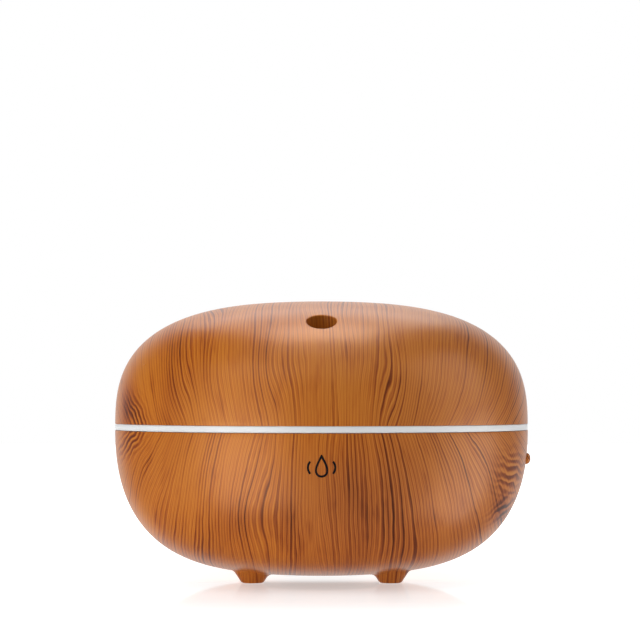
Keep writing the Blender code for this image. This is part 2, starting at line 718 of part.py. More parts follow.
def build_fan():
    middle_z = FAN_BOTTOM_Z + FAN_HEIGHT / 2
    frame = box("fan_frame", (0, 0, middle_z), (FAN_SIDE, FAN_SIDE, FAN_HEIGHT), BLACK_PLASTIC)
    through = (FAN_BOTTOM_Z - 2 * MM, FAN_BOTTOM_Z + FAN_HEIGHT + 2 * MM)
    cut(frame, turned("fan_bore", rod_profile(FAN_BORE, *through), None, steps=32, helper=True))
    hub_top = FAN_BOTTOM_Z + 1.5 * MM
    join(frame, upright_rods("fan_hub", [(0, 0)], 8.6 * MM, FAN_BOTTOM_Z, hub_top))
    strut = ((13.9 * MM, 0, FAN_BOTTOM_Z + 0.7 * MM), (11.4 * MM, 2 * MM, 1.2 * MM))
    struts = [(*strut, math.radians(a)) for a in (0, 120, 240)]
    join(frame, boxes("fan_struts", struts))
    reach = FAN_HOLE_REACH
    holes = [(x, y) for x in (-reach, reach) for y in (-reach, reach)]
    cut(frame, upright_rods("fan_holes", holes, 1.7 * MM, *through))
    bearing = ring_section(1.1 * MM, 2.6 * MM, hub_top + GAP, 13 * MM)
    turned("fan_bearing", bearing, COPPER, closed=True, steps=SMALL_STEPS)
    section = ring_section(2.9 * MM, 6.8 * MM, hub_top + GAP, 13.2 * MM)
    stator = turned("fan_stator", section, COPPER, closed=True, steps=24)
    slot = ((6.2 * MM, 0, 11 * MM), (3.6 * MM, 1.4 * MM, 8 * MM))
    slots = [(*slot, math.radians(a)) for a in (45, 135, 225, 315)]
    cut(stator, boxes("stator_slots", slots))
    turned("fan_shaft", rod_profile(1 * MM, hub_top + GAP, 14.2 * MM), STEEL, steps=SMALL_STEPS)
    build_rotor()


def build_rotor():
    """A cup with blades pitched about its radius, over the stator."""
    cup = [
        (0, 15.8 * MM),
        (9.4 * MM, 15.8 * MM),
        (9.4 * MM, 9 * MM),
        (7.4 * MM, 9 * MM),
        (7.4 * MM, 14.5 * MM),
        (0, 14.5 * MM),
    ]
    rotor = turned("fan_rotor", cup, BLACK_PLASTIC, steps=28)
    root, tip = 8.6 * MM, 17.7 * MM
    bm = bmesh.new()
    for i in range(BLADE_COUNT):
        turn = Matrix.Rotation(2 * math.pi * i / BLADE_COUNT, 4, "Z")
        place = Matrix.Translation(((root + tip) / 2, 0, 12.4 * MM))
        pitch = Matrix.Rotation(math.radians(38), 4, "X")
        size = Matrix.Diagonal((tip - root, 7.6 * MM, 0.9 * MM, 1))
        bmesh.ops.create_cube(bm, size=1, matrix=turn @ place @ pitch @ size)
    join(rotor, add_object("fan_blades", mesh_from(bm, "fan_blades"), None, helper=True))


# ---------------------------------------------------------------- electronics


def build_driver_board():
    board = box("driver_board", BOARD_MIDDLE, BOARD_SIZE, CIRCUIT_BOARD)
    cut(board, upright_rods("board_holes", BOARD_SCREWS, 1.2 * MM, 15 * MM, 25 * MM))
    under = BOARD_MIDDLE.z - BOARD_SIZE.z / 2 - GAP
    for number, (x, y) in enumerate(BOARD_SCREWS, 1):
        screw(f"board_screw_{number}", (x, y, under), (0, 0, 1), 7 * MM)
    box("lead_socket", (0, SOCKET_Y, BOARD_TOP_Z + SOCKET_SIZE.z / 2), SOCKET_SIZE, WHITE_PLASTIC)
    core = [
        (0, 9.5 * MM),
        (5.5 * MM, 9.5 * MM),
        (5.5 * MM, 8 * MM),
        (4.7 * MM, 7.8 * MM),
        (4.7 * MM, 1.7 * MM),
        (5.5 * MM, 1.5 * MM),
        (5.5 * MM, 0),
        (0, 0),
    ]
    coil = turned("driver_coil", core, COPPER, steps=SMALL_STEPS)
    coil.location = (-14 * MM, 50 * MM, BOARD_TOP_Z)
    can = turned("capacitor", rod_profile(4 * MM, 0, 10.5 * MM), BLACK_PLASTIC, steps=SMALL_STEPS)
    can.location = (0, 51 * MM, BOARD_TOP_Z)
    transistor_middle = (14 * MM, 45 * MM, BOARD_TOP_Z + 4.8 * MM)
    box("driver_transistor", transistor_middle, (10 * MM, 4 * MM, 9.6 * MM), BLACK_PLASTIC)
    sink_middle = Vector((14 * MM, 52.2 * MM, BOARD_TOP_Z + 5.2 * MM))
    sink = box("heat_sink", sink_middle, (14 * MM, 9.6 * MM, 10.4 * MM), ALUMINIUM)
    fins = [((x * 2.8 * MM, 1.6 * MM, 0), (1.7 * MM, 8 * MM, 12 * MM)) for x in (-2, -1, 0, 1, 2)]
    gaps = boxes("sink_gaps", fins)
    gaps.location = sink_middle
    cut(sink, gaps)


def build_dc_jack():
    """A barrel socket whose round nose passes through the lower shell."""
    middle = (0, JACK_MIDDLE_Y, JACK_Z)
    jack = boxes("dc_jack", [(middle, (9 * MM, 12 * MM, 10.4 * MM))], BLACK_PLASTIC, helper=False)
    join(jack, rods("jack_nose", [((0, 68 * MM, JACK_Z), (0, JACK_FACE_Y, JACK_Z), JACK_NOSE_RADIUS)]))
    cut(jack, rods("jack_bore", [((0, 64 * MM, JACK_Z), (0, 82 * MM, JACK_Z), JACK_BORE)]))
    pin = ((0, 63 * MM, JACK_Z), (0, JACK_FACE_Y - 1 * MM, JACK_Z), JACK_PIN_RADIUS)
    join(jack, rods("jack_pin", [pin]))


def build_led_ring():
    low, high = LED_BOARD_Z, LED_BOARD_Z + LED_BOARD_THICK
    section = ring_section(72 * MM, 79 * MM, low, high)
    board = turned("led_board", section, CIRCUIT_BOARD, closed=True, steps=INNER_STEPS)
    posts = [around(LED_REACH, a) for a in LED_POST_ANGLES]
    cut(board, upright_rods("led_board_holes", posts, 1.3 * MM, 52 * MM, 57 * MM))
    for number in range(1, LED_COUNT + 1):
        degrees = 360 / LED_COUNT * (number - 0.5)
        x, y = around(LED_REACH, degrees)
        lamp = box(f"led_{number}", (x, y, high + GAP + 0.65 * MM), (5 * MM, 5 * MM, 1.3 * MM), LAMP)
        lamp.rotation_euler.z = math.radians(degrees)


# ---------------------------------------------------------------- buttons


def face_along_x(obj):
    """Turns a slab so that its outline's width runs along Y, its height along Z and its face along X."""
    obj.rotation_mode = "QUATERNION"
    obj.rotation_quaternion = Matrix(((0, 0, 1), (1, 0, 0), (0, 1, 0))).to_quaternion()


def build_button(side, button_name, switch_name):
    """A pill button whose flange is caught behind the shell and whose stem works a switch."""
    y = side * BUTTON_SPACING
    flange_back, flange_front = BUTTON_FLANGE_BACK_X, BUTTON_FLANGE_FRONT_X
    cap_back = flange_front - 1 * MM
    outline = pill_outline(BUTTON_WIDTH, BUTTON_HEIGHT)
    cap = slab(button_name, outline, BUTTON_FACE_X - cap_back, WOOD_PRINT)
    face_along_x(cap)
    cap.location = ((BUTTON_FACE_X + cap_back) / 2, y, BUTTON_Z)
    round_edges(cap, 1.3 * MM, 3)
    outline = pill_outline(10.6 * MM, 6.2 * MM)
    flange = slab(f"{button_name}_flange", outline, flange_front - flange_back, helper=True)
    face_along_x(flange)
    flange.location = ((flange_front + flange_back) / 2, y, BUTTON_Z)
    join(cap, flange)
    stem = ((75.3 * MM, y, BUTTON_Z), (flange_back + 0.3 * MM, y, BUTTON_Z), BUTTON_STEM_RADIUS)
    join(cap, rods(f"{button_name}_stem", [stem]))
    back, front = BUTTON_BOARD_X + BUTTON_BOARD_THICK + GAP, SWITCH_FRONT_X
    middle = ((back + front) / 2, y, BUTTON_Z)
    switch = box(switch_name, middle, (front - back, 6 * MM, 6 * MM), BLACK_PLASTIC)
    bore = ((74.1 * MM, y, BUTTON_Z), (78 * MM, y, BUTTON_Z), BUTTON_STEM_RADIUS + 0.4 * MM)
    cut(switch, rods(f"{switch_name}_bore", [bore]))


def build_button_board():
    middle = (BUTTON_BOARD_X + BUTTON_BOARD_THICK / 2, 0, BUTTON_Z)
    board = box("button_board", middle, (BUTTON_BOARD_THICK, 35 * MM, 10 * MM), CIRCUIT_BOARD)
    holes = []
    for y in (-BUTTON_ARM_Y, BUTTON_ARM_Y):
        holes.append(((69 * MM, y, BUTTON_Z), (74 * MM, y, BUTTON_Z), 1.3 * MM))
    cut(board, rods("button_board_holes", holes))


# ---------------------------------------------------------------- leads


def build_leads():
    """Leads from what they feed, past the other pieces, to the socket on the driver board."""
    socket_top = BOARD_TOP_Z + SOCKET_SIZE.z + GAP
    from_disc = [(0, 3.5, 31.2), (0, 3.7, 27.5), (-1.5, 9, 24.6), (-4, 20, 24.4)]
    from_fan = [(7, 20.9, 12), (7, 25, 12.6), (6.3, 29.6, 18), (5.3, 30.3, 25)]
    from_lamps = [(-24, 71, 54.3), (-24, 71.6, 48), (-23.5, 68.6, 38), (-23.6, 60, 31), (-23, 48, 28.6)]
    from_buttons = [(71.6, 9, 43.6), (72.2, 12, 38), (66, 22, 31), (50, 38, 27), (36, 42.3, 26.5)]
    routes = {
        "disc_lead": (from_disc + [(-5, 30, 29), (-5, 35, 31.4)], -5),
        "fan_lead": (from_fan + [(5, 32.8, 30.4), (5, 35.3, 31)], 5),
        "led_lead": (from_lamps + [(-18.5, 40.5, 30.4), (-14.6, 37, 31.2)], -14),
        "button_lead": (from_buttons + [(24, 42, 28), (17.5, 39.4, 30.4), (14.5, 37, 31.2)], 14),
    }
    for name, (route, socket_x) in routes.items():
        points = [(x * MM, y * MM, z * MM) for x, y, z in route]
        points.append((socket_x * MM, SOCKET_Y, socket_top))
        lead(name, points)


# ---------------------------------------------------------------- whole object

build_top_cover()
build_inner_cover()
build_outlet_seal()
build_light_ring()
build_water_tank()
build_air_hood()
build_transducer()
build_lower_shell()
build_base_plate()
build_fan()
build_driver_board()
build_dc_jack()
build_led_ring()
build_button(-1, "mist_button", "mist_switch")
build_button(1, "light_button", "light_switch")
build_button_board()
build_leads()
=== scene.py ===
"""The looks of the aroma diffuser: smooth shells with a printed wood grain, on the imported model."""

import math
from bisect import bisect_left

import bmesh
import bpy
from mathutils import Matrix, Vector
from mathutils.geometry import delaunay_2d_cdt


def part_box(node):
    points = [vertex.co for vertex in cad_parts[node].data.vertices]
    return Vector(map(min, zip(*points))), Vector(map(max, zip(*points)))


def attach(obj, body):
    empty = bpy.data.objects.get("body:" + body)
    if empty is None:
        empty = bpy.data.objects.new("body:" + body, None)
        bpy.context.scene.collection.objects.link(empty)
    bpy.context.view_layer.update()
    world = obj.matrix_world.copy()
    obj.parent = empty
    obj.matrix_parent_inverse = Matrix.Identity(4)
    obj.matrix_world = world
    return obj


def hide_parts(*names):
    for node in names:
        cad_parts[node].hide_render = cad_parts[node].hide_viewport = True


MM = 0.001

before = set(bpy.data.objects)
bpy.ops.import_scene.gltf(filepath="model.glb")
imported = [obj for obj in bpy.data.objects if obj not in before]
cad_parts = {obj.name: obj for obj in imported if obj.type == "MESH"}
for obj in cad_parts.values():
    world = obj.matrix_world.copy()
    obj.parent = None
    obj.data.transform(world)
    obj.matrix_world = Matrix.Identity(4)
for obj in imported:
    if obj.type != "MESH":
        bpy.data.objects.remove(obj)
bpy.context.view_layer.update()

# ---- sizes
# Read from the frame where it has them. The rest are the design's own dimensions.


def extent(node):
    """A CAD node's lowest corner, highest corner and middle."""
    low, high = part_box(node)
    return low, high, (low + high) / 2


SHELL_HIGH = extent("lower_shell")[1]
COVER_LOW = extent("top_cover")[0]
RADIUS = 84.8 * MM  # of the flats between the corners of the CAD shells
RING_LOW_Z = SHELL_HIGH.z + 0.3 * MM
RING_HIGH_Z = COVER_LOW.z - 0.3 * MM
RING_Z = (RING_LOW_Z + RING_HIGH_Z) / 2
WALL = 2.6 * MM
EDGE = 0.35 * MM  # the small rounding on moulded edges
LIP = 0.15 * MM  # and on the shells' rims, where they meet the light ring
RIM_DROP = 0.22 * MM  # how far the cover comes down to close its gap over the ring

UPPER = (RADIUS, 51 * MM, 2.84, 2.74)  # radius, height and the powers of both
LOWER = (RADIUS, 59.6 * MM, 3.58, 2.36)

OUTLET_TILT = math.radians(20)
OUTLET_REACH = 63.5 * MM
OUTLET_RADIUS = 5.8 * MM
OUTLET_FILLET = 0.5 * MM
COLLAR_RADIUS = 8.4 * MM
COLLAR_DEPTH = 9 * MM

FOOT_MIDDLES = [extent(f"foot_pad_{i}")[2] for i in (1, 2, 3, 4)]
FOOT_RADIUS = 4.4 * MM
FOOT_BOTTOM_Z = 0.12 * MM
FOOT_SLOPE = math.tan(math.radians(33))
FOOT_BLEND = 1.6 * MM
FOOT_COUNT = 56  # points round a foot
REBATE_RADIUS = 26.5 * MM  # of the recess that the base plate sits in
LEDGE_Z = 4.4 * MM
INLET_RADIUS = 19 * MM
FLOOR_Z = 6.4 * MM

BUTTON_Z = extent("mist_button")[2].z
BUTTON_FACE_X = 85.35 * MM
BUTTON_YS = [extent(node)[2].y for node in ("mist_button", "light_button")]
JACK_Z = extent("dc_jack")[2].z
DUCT = (extent("air_hood")[2].x, 0)
PRINT_DEPTH = 0.04 * MM

TABLE_GLOW_IN_PAINTED_SHADOW = 0.66  # light from the table itself, under the bowl, where its dimmer glow is a painted shadow, and away from it
OPEN_TABLE_GLOW = 0.93
TABLE_SHEEN = 0.38  # in front of the object, and less further forward
ROOM_LIGHT = 0.1  # what the object mirrors of the room in front of it, where the wall behind is 1

FINE = 2.2 * MM  # the size of the faces of a shell's outside
COARSE = 5 * MM  # and of its inside
RIM_COUNT = 240
SHARP = math.radians(38)  # edges between faces that meet at more than this stay crisp

# In mm, as the shaders measure.
PRINT_RADIUS = 1.15 * RADIUS / MM  # the lines crowd at the sides as if printed on this radius
LINE_SPACING = 1.35  # between the print's lines in the middle
FLAME_DEPTH = 32.0  # how far from its middle a flame reaches towards the back


# ---- surfaces of the shells


def crossing(rising, low, high):
    """Where a rising function passes 0 between low and high."""
    for _ in range(40):
        middle = (low + high) / 2
        if rising(middle) < 0:
            low = middle
        else:
            high = middle
    return (low + high) / 2


def turns(count, offset=0.0):
    """Evenly spaced angles round a circle."""
    return [2 * math.pi * (i + offset) / count for i in range(count)]


def circle(radius, z, count, offset=0.0):
    return [Vector((radius * math.cos(a), radius * math.sin(a), z)) for a in turns(count, offset)]


class Dome:
    """Half of a flattened ball about Z. Places on it are also given on a flat disc.

    On the disc, the distance from the middle is the distance along the surface from the pole, so
    that points evenly spread on the disc are evenly spread on the dome.
    """

    def __init__(self, shape, side, inset=0.0):
        self.radius, self.height, self.across, self.up = shape
        self.side = side  # +1 above the ring, -1 below it
        self.inset = inset
        self.steps = 600
        self.lengths = [0.0]
        before = self.section(0)
        for i in range(1, self.steps + 1):
            point = self.section(i / self.steps)
            self.lengths.append(self.lengths[-1] + math.dist(before, point))
            before = point

    def section(self, share):
        """(radius, height above the waist) at a share of the way from the pole to the waist."""
        angle = share * math.pi / 2
        r = self.radius * math.sin(angle) ** (2 / self.across)
        h = self.height * math.cos(angle) ** (2 / self.up)
        if not self.inset:
            return r, h
        slope_r = (r / self.radius) ** (self.across - 1) * self.across / self.radius
        slope_h = (h / self.height) ** (self.up - 1) * self.up / self.height
        length = math.hypot(slope_r, slope_h)
        return max(r - self.inset * slope_r / length, 0), h - self.inset * slope_h / length

    def share_at_radius(self, r):
        return crossing(lambda share: self.section(share)[0] - r, 0, 1)

    def share_at_height(self, h):
        return crossing(lambda share: h - self.section(share)[1], 0, 1)

    def length_at(self, share):
        """The way along the surface from the pole to a share."""
        step = min(max(share, 0), 1) * self.steps
        index = min(int(step), self.steps - 1)
        start, end = self.lengths[index : index + 2]
        return start + (end - start) * (step - index)

    def share_at(self, length):
        """The share at a way along the surface from the pole."""
        index = min(max(bisect_left(self.lengths, length), 1), self.steps) - 1
        start, end = self.lengths[index : index + 2]
        return (index + (length - start) / (end - start)) / self.steps

    def beyond(self, point):
        """How far a point is outside the dome, or below 0 inside it, close to its surface."""
        r = math.hypot(point.x, point.y) / self.radius
        h = max(self.side * (point.z - RING_Z), 0) / self.height
        value = r**self.across + h**self.up - 1
        slope_r = self.across * r ** (self.across - 1) / self.radius
        slope_h = self.up * h ** (self.up - 1) / self.height
        return value / math.hypot(slope_r, slope_h) + self.inset

    def z_at(self, x, y):
        return RING_Z + self.side * self.section(self.share_at_radius(math.hypot(x, y)))[1]

    def radius_at(self, z):
        return self.section(self.share_at_height(self.side * (z - RING_Z)))[0]

    def to_disc(self, point):
        """The disc place of a point on the dome."""
        height = self.side * (point.z - RING_Z)
        out = math.hypot(point.x, point.y)
        share = self.share_at_radius(out) if height > self.height * 0.6 else self.share_at_height(height)
        length = self.length_at(share)
        return Vector((point.x, point.y)) * (length / out)

    def from_disc(self, place):
        length = place.length
        if length < 1e-9:
            return Vector((0, 0, RING_Z + self.side * self.section(0)[1]))
        r, h = self.section(self.share_at(length))
        return Vector((place.x * r / length, place.y * r / length, RING_Z + self.side * h))


def encloses(outline, point):
    """Whether a closed outline of disc places goes round a point."""
    inside = False
    for a, b in zip(outline, outline[1:] + outline[:1]):
        if (a.y > point.y) != (b.y > point.y):
            if point.x < a.x + (b.x - a.x) * (point.y - a.y) / (b.y - a.y):
                inside = not inside
    return inside


def skin(bm, dome, rim_z, spacing, outlines):
    """Lays a net of faces over the dome as far as rim_z, with a hole inside each closed outline.

    Returns the rim's vertices and each outline's, in order.
    """
    reach = dome.length_at(dome.share_at_height(dome.side * (rim_z - RING_Z)))
    loops = [[p.xy for p in circle(reach, 0, RIM_COUNT)]]
    loops += [[dome.to_disc(p) for p in outline] for outline in outlines]
    holes = [(loop, sum(loop, Vector((0, 0))) / len(loop)) for loop in loops[1:]]
    holes = [(loop, middle, max((p - middle).length for p in loop)) for loop, middle in holes]
    rings = round(reach / spacing)
    free = [Vector((0, 0))]
    for i in range(1, rings):
        r = reach * i / rings
        count = max(6, round(2 * math.pi * r / spacing / 6) * 6)
        free += [p.xy for p in circle(r, 0, count, 0.5 * (i % 2))]
    for loop, middle, _ in holes:
        step = math.dist(loop[0], loop[1])
        for grow in (1, 2.3):
            free += [p + (p - middle).normalized() * grow * step for p in loop]
    keep = []
    for place in free:
        for loop, middle, size in holes:
            step = math.dist(loop[0], loop[1])
            near = (place - middle).length < size + 3.2 * step
            if near and (encloses(loop, place) or min(math.dist(place, p) for p in loop) < 0.8 * step):
                break
        else:
            keep.append(place)
    places = [p for loop in loops for p in loop] + keep
    spans = []
    for loop in loops:
        first = spans[-1].stop if spans else 0
        spans.append(range(first, first + len(loop)))
    edges = [edge for span in spans for edge in zip(span, [*span[1:], span[0]])]
    net, _, faces, origins, _, _ = delaunay_2d_cdt(places, edges, [], 0, 1e-9)
    made = [bm.verts.new(dome.from_disc(p)) for p in net]
    for face in faces:
        middle = sum((net[i] for i in face), Vector((0, 0))) / len(face)
        if any((middle - hole).length < size and encloses(loop, middle) for loop, hole, size in holes):
            continue
        bm.faces.new([made[i] for i in (face if dome.side > 0 else reversed(face))])
    found = {}
    for vertex, origin in zip(made, origins):
        for index in origin:
            found[index] = vertex
    return [[found[i] for i in span] for span in spans]


# ---- modelling tools


def row(bm, points):
    return [bm.verts.new(p) for p in points]


def bridge(bm, first, second):
    """Lays faces between two closed rows of as many vertices."""
    for i, a in enumerate(first):
        j = (i + 1) % len(first)
        bm.faces.new((a, first[j], second[j], second[i]))


def bridge_rows(bm, first, *rows):
    """Lays rows of points one after the other from a row of vertices, and returns the last row."""
    for points in rows:
        made = row(bm, points)
        bridge(bm, first, made)
        first = made
    return first


def loft(bm, *rows):
    """A closed body through rows of as many points, with flat ends."""
    first = row(bm, rows[0])
    bm.faces.new(first)
    bm.faces.new(bridge_rows(bm, first, *rows[1:]))


def arc(middle, radius, first, last, count=4):
    """(radius, height) points of an arc in a section, from first to last in degrees."""
    angles = [math.radians(first + (last - first) * i / count) for i in range(count + 1)]
    return [(middle[0] + radius * math.cos(a), middle[1] + radius * math.sin(a)) for a in angles]


def rounded(section, radius, closed, steps=3):
    """The same section of (radius, height) points, with its sharp corners rounded."""
    points = [Vector(p) for p in section]
    made = []
    for i, corner in enumerate(points):
        inward, outward = points[i - 1] - corner, points[(i + 1) % len(points)] - corner
        at_end = not closed and i in (0, len(points) - 1)
        if at_end or inward.angle(outward) > math.radians(155):
            made.append(corner)
            continue
        cut = min(radius, inward.length * 0.45, outward.length * 0.45)
        start, end = corner + inward.normalized() * cut, corner + outward.normalized() * cut
        for k in range(steps + 1):
            t = k / steps
            made.append(start * (1 - t) ** 2 + corner * 2 * t * (1 - t) + end * t**2)
    return made


def turn(bm, section, closed, count, matrix=None, edge=EDGE):
    """A body turned about Z and then placed. An open section starts and ends on the axis."""
    matrix = matrix or Matrix.Identity(4)
    rows = []
    for r, z in rounded(section, edge, closed):
        points = [Vector((0, 0, z))] if r < 1e-9 else circle(r, z, count)
        rows.append(row(bm, [matrix @ p for p in points]))
    for first, second in zip(rows, rows[1:] + (rows[:1] if closed else [])):
        if len(first) > 1 and len(second) > 1:
            bridge(bm, first, second)
        elif len(first) + len(second) > 2:
            tip, ring = (first[0], second) if len(first) == 1 else (second[0], first)
            for i in range(count):
                bm.faces.new((tip, ring[i], ring[(i + 1) % count]))


def turned(name, *given, **more):
    """An object of one turned body, with turn's own arguments."""
    bm = bmesh.new()
    turn(bm, *given, **more)
    return add_object(name, bm)


def ring_section(inner, outer, low, high):
    return [(outer, high), (outer, low), (inner, low), (inner, high)]


def rod_section(radius, low, high):
    return [(0, high), (radius, high), (radius, low), (0, low)]


def at(x, y, z=0.0, tilt=0.0):
    """A place, with its own Z leaning towards the front by tilt."""
    return Matrix.Translation((x, y, z)) @ Matrix.Rotation(tilt, 4, "X")


def add_rods(bm, places, radius, low, high, count=32):
    for x, y in places:
        turn(bm, rod_section(radius, low, high), False, count, at(x, y))


def add_box(bm, middle, size, matrix=None):
    made = bmesh.ops.create_cube(bm, size=1)["verts"]
    matrix = (matrix or Matrix.Identity(4)) @ Matrix.Translation(middle) @ Matrix.Diagonal((*size, 1))
    bmesh.ops.transform(bm, matrix=matrix, verts=made)


def new_object(name, data):
    obj = bpy.data.objects.new(name, data)
    bpy.context.scene.collection.objects.link(obj)
    return obj


def add_object(name, bm):
    """Makes an object of a bmesh, with its faces turned outwards."""
    bmesh.ops.recalc_face_normals(bm, faces=bm.faces)
    mesh = bpy.data.meshes.new(name)
    bm.to_mesh(mesh)
    bm.free()
    return new_object(name, mesh)


def combine(target, tool, operation):
    """Joins an object of closed bodies to another one, or cuts them out of it."""
    modifier = target.modifiers.new(operation, "BOOLEAN")
    modifier.operation = operation
    modifier.solver = "EXACT"
    modifier.use_self = True
    modifier.object = tool
    bpy.context.view_layer.update()
    mesh = bpy.data.meshes.new_from_object(target.evaluated_get(bpy.context.evaluated_depsgraph_get()))
    target.modifiers.clear()
    target.data = mesh
    bpy.data.objects.remove(tool)


def dress(piece, slot, body, replaced, finish=None):
    """Shades a piece, gives it its slot's finish and sets it on its body in place of CAD nodes."""
    piece.data.polygons.foreach_set("use_smooth", [True] * len(piece.data.polygons))
    piece.data.set_sharp_from_angle(angle=SHARP)
    piece.data.materials.clear()
    piece.data.materials.append(finish or FINISHES[slot])
    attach(piece, body)
    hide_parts(*replaced)


class Hole:
    """A straight hole through a shell. outline(grow) gives (across, up) points round its axis."""

    def __init__(self, middle, axis, across, outline):
        self.middle, self.axis, self.across = Vector(middle), Vector(axis), Vector(across)
        self.up = self.axis.cross(self.across)
        self.outline = outline

    def at(self, x, y, depth):
        return self.middle + self.across * x + self.up * y - self.axis * depth

    def level(self, grow, depth):
        """The outline square to the axis, at a depth below the hole's middle."""
        return [self.at(x, y, depth) for x, y in self.outline(grow)]

    def on(self, dome, grow=0.0):
        """The outline where it meets a dome, which is less than 14 mm from the hole's middle."""
        points = []
        for x, y in self.outline(grow):
            depth = crossing(lambda d: -dome.beyond(self.at(x, y, d)), -14 * MM, 14 * MM)
            points.append(self.at(x, y, depth))
        return points


def blend_rows(starts, corners, ends, steps=4):
    """Rows of points that round a corner off, without the first."""
    rows = []
    for k in range(1, steps + 1):
        t = k / steps
        a, b, c = (1 - t) ** 2, 2 * t * (1 - t), t**2
        rows.append([p * a + q * b + r * c for p, q, r in zip(starts, corners, ends)])
    return rows


def mouth(bm, dome, hole, loop, fillet):
    """Rounds a hole's edge off, from its loop on the dome to a row on its wall."""
    corners = hole.on(dome)
    ends = [c - hole.axis * fillet for c in corners]
    return bridge_rows(bm, loop, *blend_rows(hole.on(dome, fillet), corners, ends))


def round_outline(radius, count):
    return lambda grow: [tuple(p.xy) for p in circle(radius + grow, 0, count)]


def pill_outline(width, height, count=24):
    """A bar with round ends, of count points round each end and some along each side."""

    def outline(grow):
        radius, half = height / 2 + grow, (width - height) / 2
        points = []
        for side in (1, -1):
            for i in range(count + 1):
                angle = math.pi * (i / count - side / 2)
                points.append((side * half + math.cos(angle) * radius, math.sin(angle) * radius))
            points += [(side * half * (1 - i / 3), side * radius) for i in range(1, 6)]
        return points

    return outline


# ---- finishes


class Value:
    """A number in a shader, so that sums of nodes read as sums."""

    def __init__(self, shader, socket):
        self.shader, self.socket = shader, socket

    def math(self, operation, *others):
        node = self.shader.node("ShaderNodeMath", self, *others)
        node.operation = operation
        return Value(self.shader, node.outputs[0])

    def __add__(self, other):
        return self.math("ADD", other)

    def __sub__(self, other):
        return self.math("SUBTRACT", other)

    def __rsub__(self, other):
        return (self * -1) + other

    def __mul__(self, other):
        return self.math("MULTIPLY", other)

    def __truediv__(self, other):
        return self.math("DIVIDE", other)

    def spread(self, low, high, to_low=0.0, to_high=1.0):
        """Runs smoothly from to_low to to_high as the value goes from low to high."""
        node = self.shader.node("ShaderNodeMapRange", self, low, high, to_low, to_high)
        node.interpolation_type = "SMOOTHSTEP"
        return Value(self.shader, node.outputs[0])


def feed(socket, given):
    """Links a node's input to a value or another socket, or sets it to a constant."""
    if isinstance(given, Value):
        given = given.socket
    if isinstance(given, bpy.types.NodeSocket):
        socket.id_data.links.new(given, socket)
    else:
        socket.default_value = given


def give(node, inputs):
    """Feeds a node's inputs by name."""
    for name, given in inputs.items():
        feed(node.inputs[name], given)


class Shader:
    """A material with a Principled shader, and what builds nodes in it."""

    def __init__(self, name, roughness, metallic=0.0):
        self.name = name
        self.material = bpy.data.materials.new(name)
        self.material.use_nodes = True
        self.tree = self.material.node_tree
        self.surface = self.tree.nodes["Principled BSDF"]
        give(self.surface, {"Roughness": roughness, "Metallic": metallic})
        position = self.node("ShaderNodeTexCoord").outputs["Object"]
        scaled = self.node("ShaderNodeVectorMath", position, (1000, 1000, 1000))
        scaled.operation = "MULTIPLY"
        self.place = scaled.outputs[0]
        parts = self.node("ShaderNodeSeparateXYZ", self.place)
        self.x, self.y, self.z = (Value(self, parts.outputs[i]) for i in range(3))

    def node(self, kind, *inputs):
        """A node whose first inputs are values of this shader, sockets or constants."""
        made = self.tree.nodes.new(kind)
        for socket, given in zip(made.inputs, inputs):
            feed(socket, given)
        return made

    def noise(self, size, seed=0.0, detail=2.0, rough=0.5):
        """Noise about 0, from about -1 to 1. size is how many mm it takes to change along x, y and z."""
        scale = tuple(1 / s for s in size)
        moved = self.node("ShaderNodeVectorMath", self.place, scale, (seed, seed * 1.7, seed * 2.3))
        moved.operation = "MULTIPLY_ADD"
        texture = self.node("ShaderNodeTexNoise", moved.outputs[0])
        give(texture, {"Scale": 1.0, "Detail": detail, "Roughness": rough})
        return (Value(self, texture.outputs[0]) - 0.5) * 2.6

    def bump_at(self, middle, size):
        """1 at a place, falling off to 0 round it."""
        terms = [(v - m) / s for v, m, s in zip((self.x, self.y, self.z), middle, size)]
        far = sum((t * t for t in terms[1:]), terms[0] * terms[0])
        return (far * -1).math("EXPONENT")

    def ramp(self, value, stops):
        """Colours along a value. stops are (place, linear colour)."""
        node = self.node("ShaderNodeValToRGB", value)
        elements = node.color_ramp.elements
        while len(elements) < len(stops):
            elements.new(1.0)
        for element, (place, colour) in zip(elements, stops):
            element.position = place
            element.color = (*colour, 1)
        return node.outputs[0]

    def mix(self, share, first, second):
        node = self.tree.nodes.new("ShaderNodeMix")
        node.data_type = "RGBA"
        for name, given in (("Factor_Float", share), ("A_Color", first), ("B_Color", second)):
            socket = next(s for s in node.inputs if s.identifier == name)
            feed(socket, (*given, 1) if isinstance(given, (tuple, list)) else given)
        return next(s for s in node.outputs if s.identifier == "Result_Color")

    def colour(self, socket):
        give(self.surface, {"Base Color": socket})

    def relief(self, height, depth):
        """Raises the surface by up to depth metres where height is 1."""
        node = self.node("ShaderNodeBump")
        give(node, {"Strength": 1.0, "Distance": depth, "Height": height})
        give(self.surface, {"Normal": node.outputs[0]})


def linear(red, green, blue):
    """A colour of 0 to 255 display values, none of them under 11, as linear light."""
    return tuple(((c / 255 + 0.055) / 1.055) ** 2.4 for c in (red, green, blue))


def flame(shader, middle, lean, size, spacing):
    """Wavy dark lines beside a knot, and how far they take over from the grain.

    lean is in degrees, and picks the noise too. size is (across, along) the lines, in mm.
    """
    right, up = shader.x - middle[0], shader.z - middle[2]
    cosine, sine = math.cos(math.radians(lean)), math.sin(math.radians(lean))
    across, along = right * cosine + up * sine, up * cosine - right * sine
    back = (shader.y - middle[1]) / FLAME_DEPTH
    far = (across * across) / size[0] ** 2 + (along * along) / size[1] ** 2 + back * back
    share = (far * -1).math("EXPONENT")
    bends = shader.noise((3.5, 9, 4.5), lean, 1.0) * 0.3 + shader.noise((9, 20, 9), lean + 1, 1.0) * 0.8
    ring = (across / spacing + bends).math("FRACT")
    return ring.spread(0.1, 0.6) * ring.spread(0.75, 1.0, 1.0, 0.0) * share, share


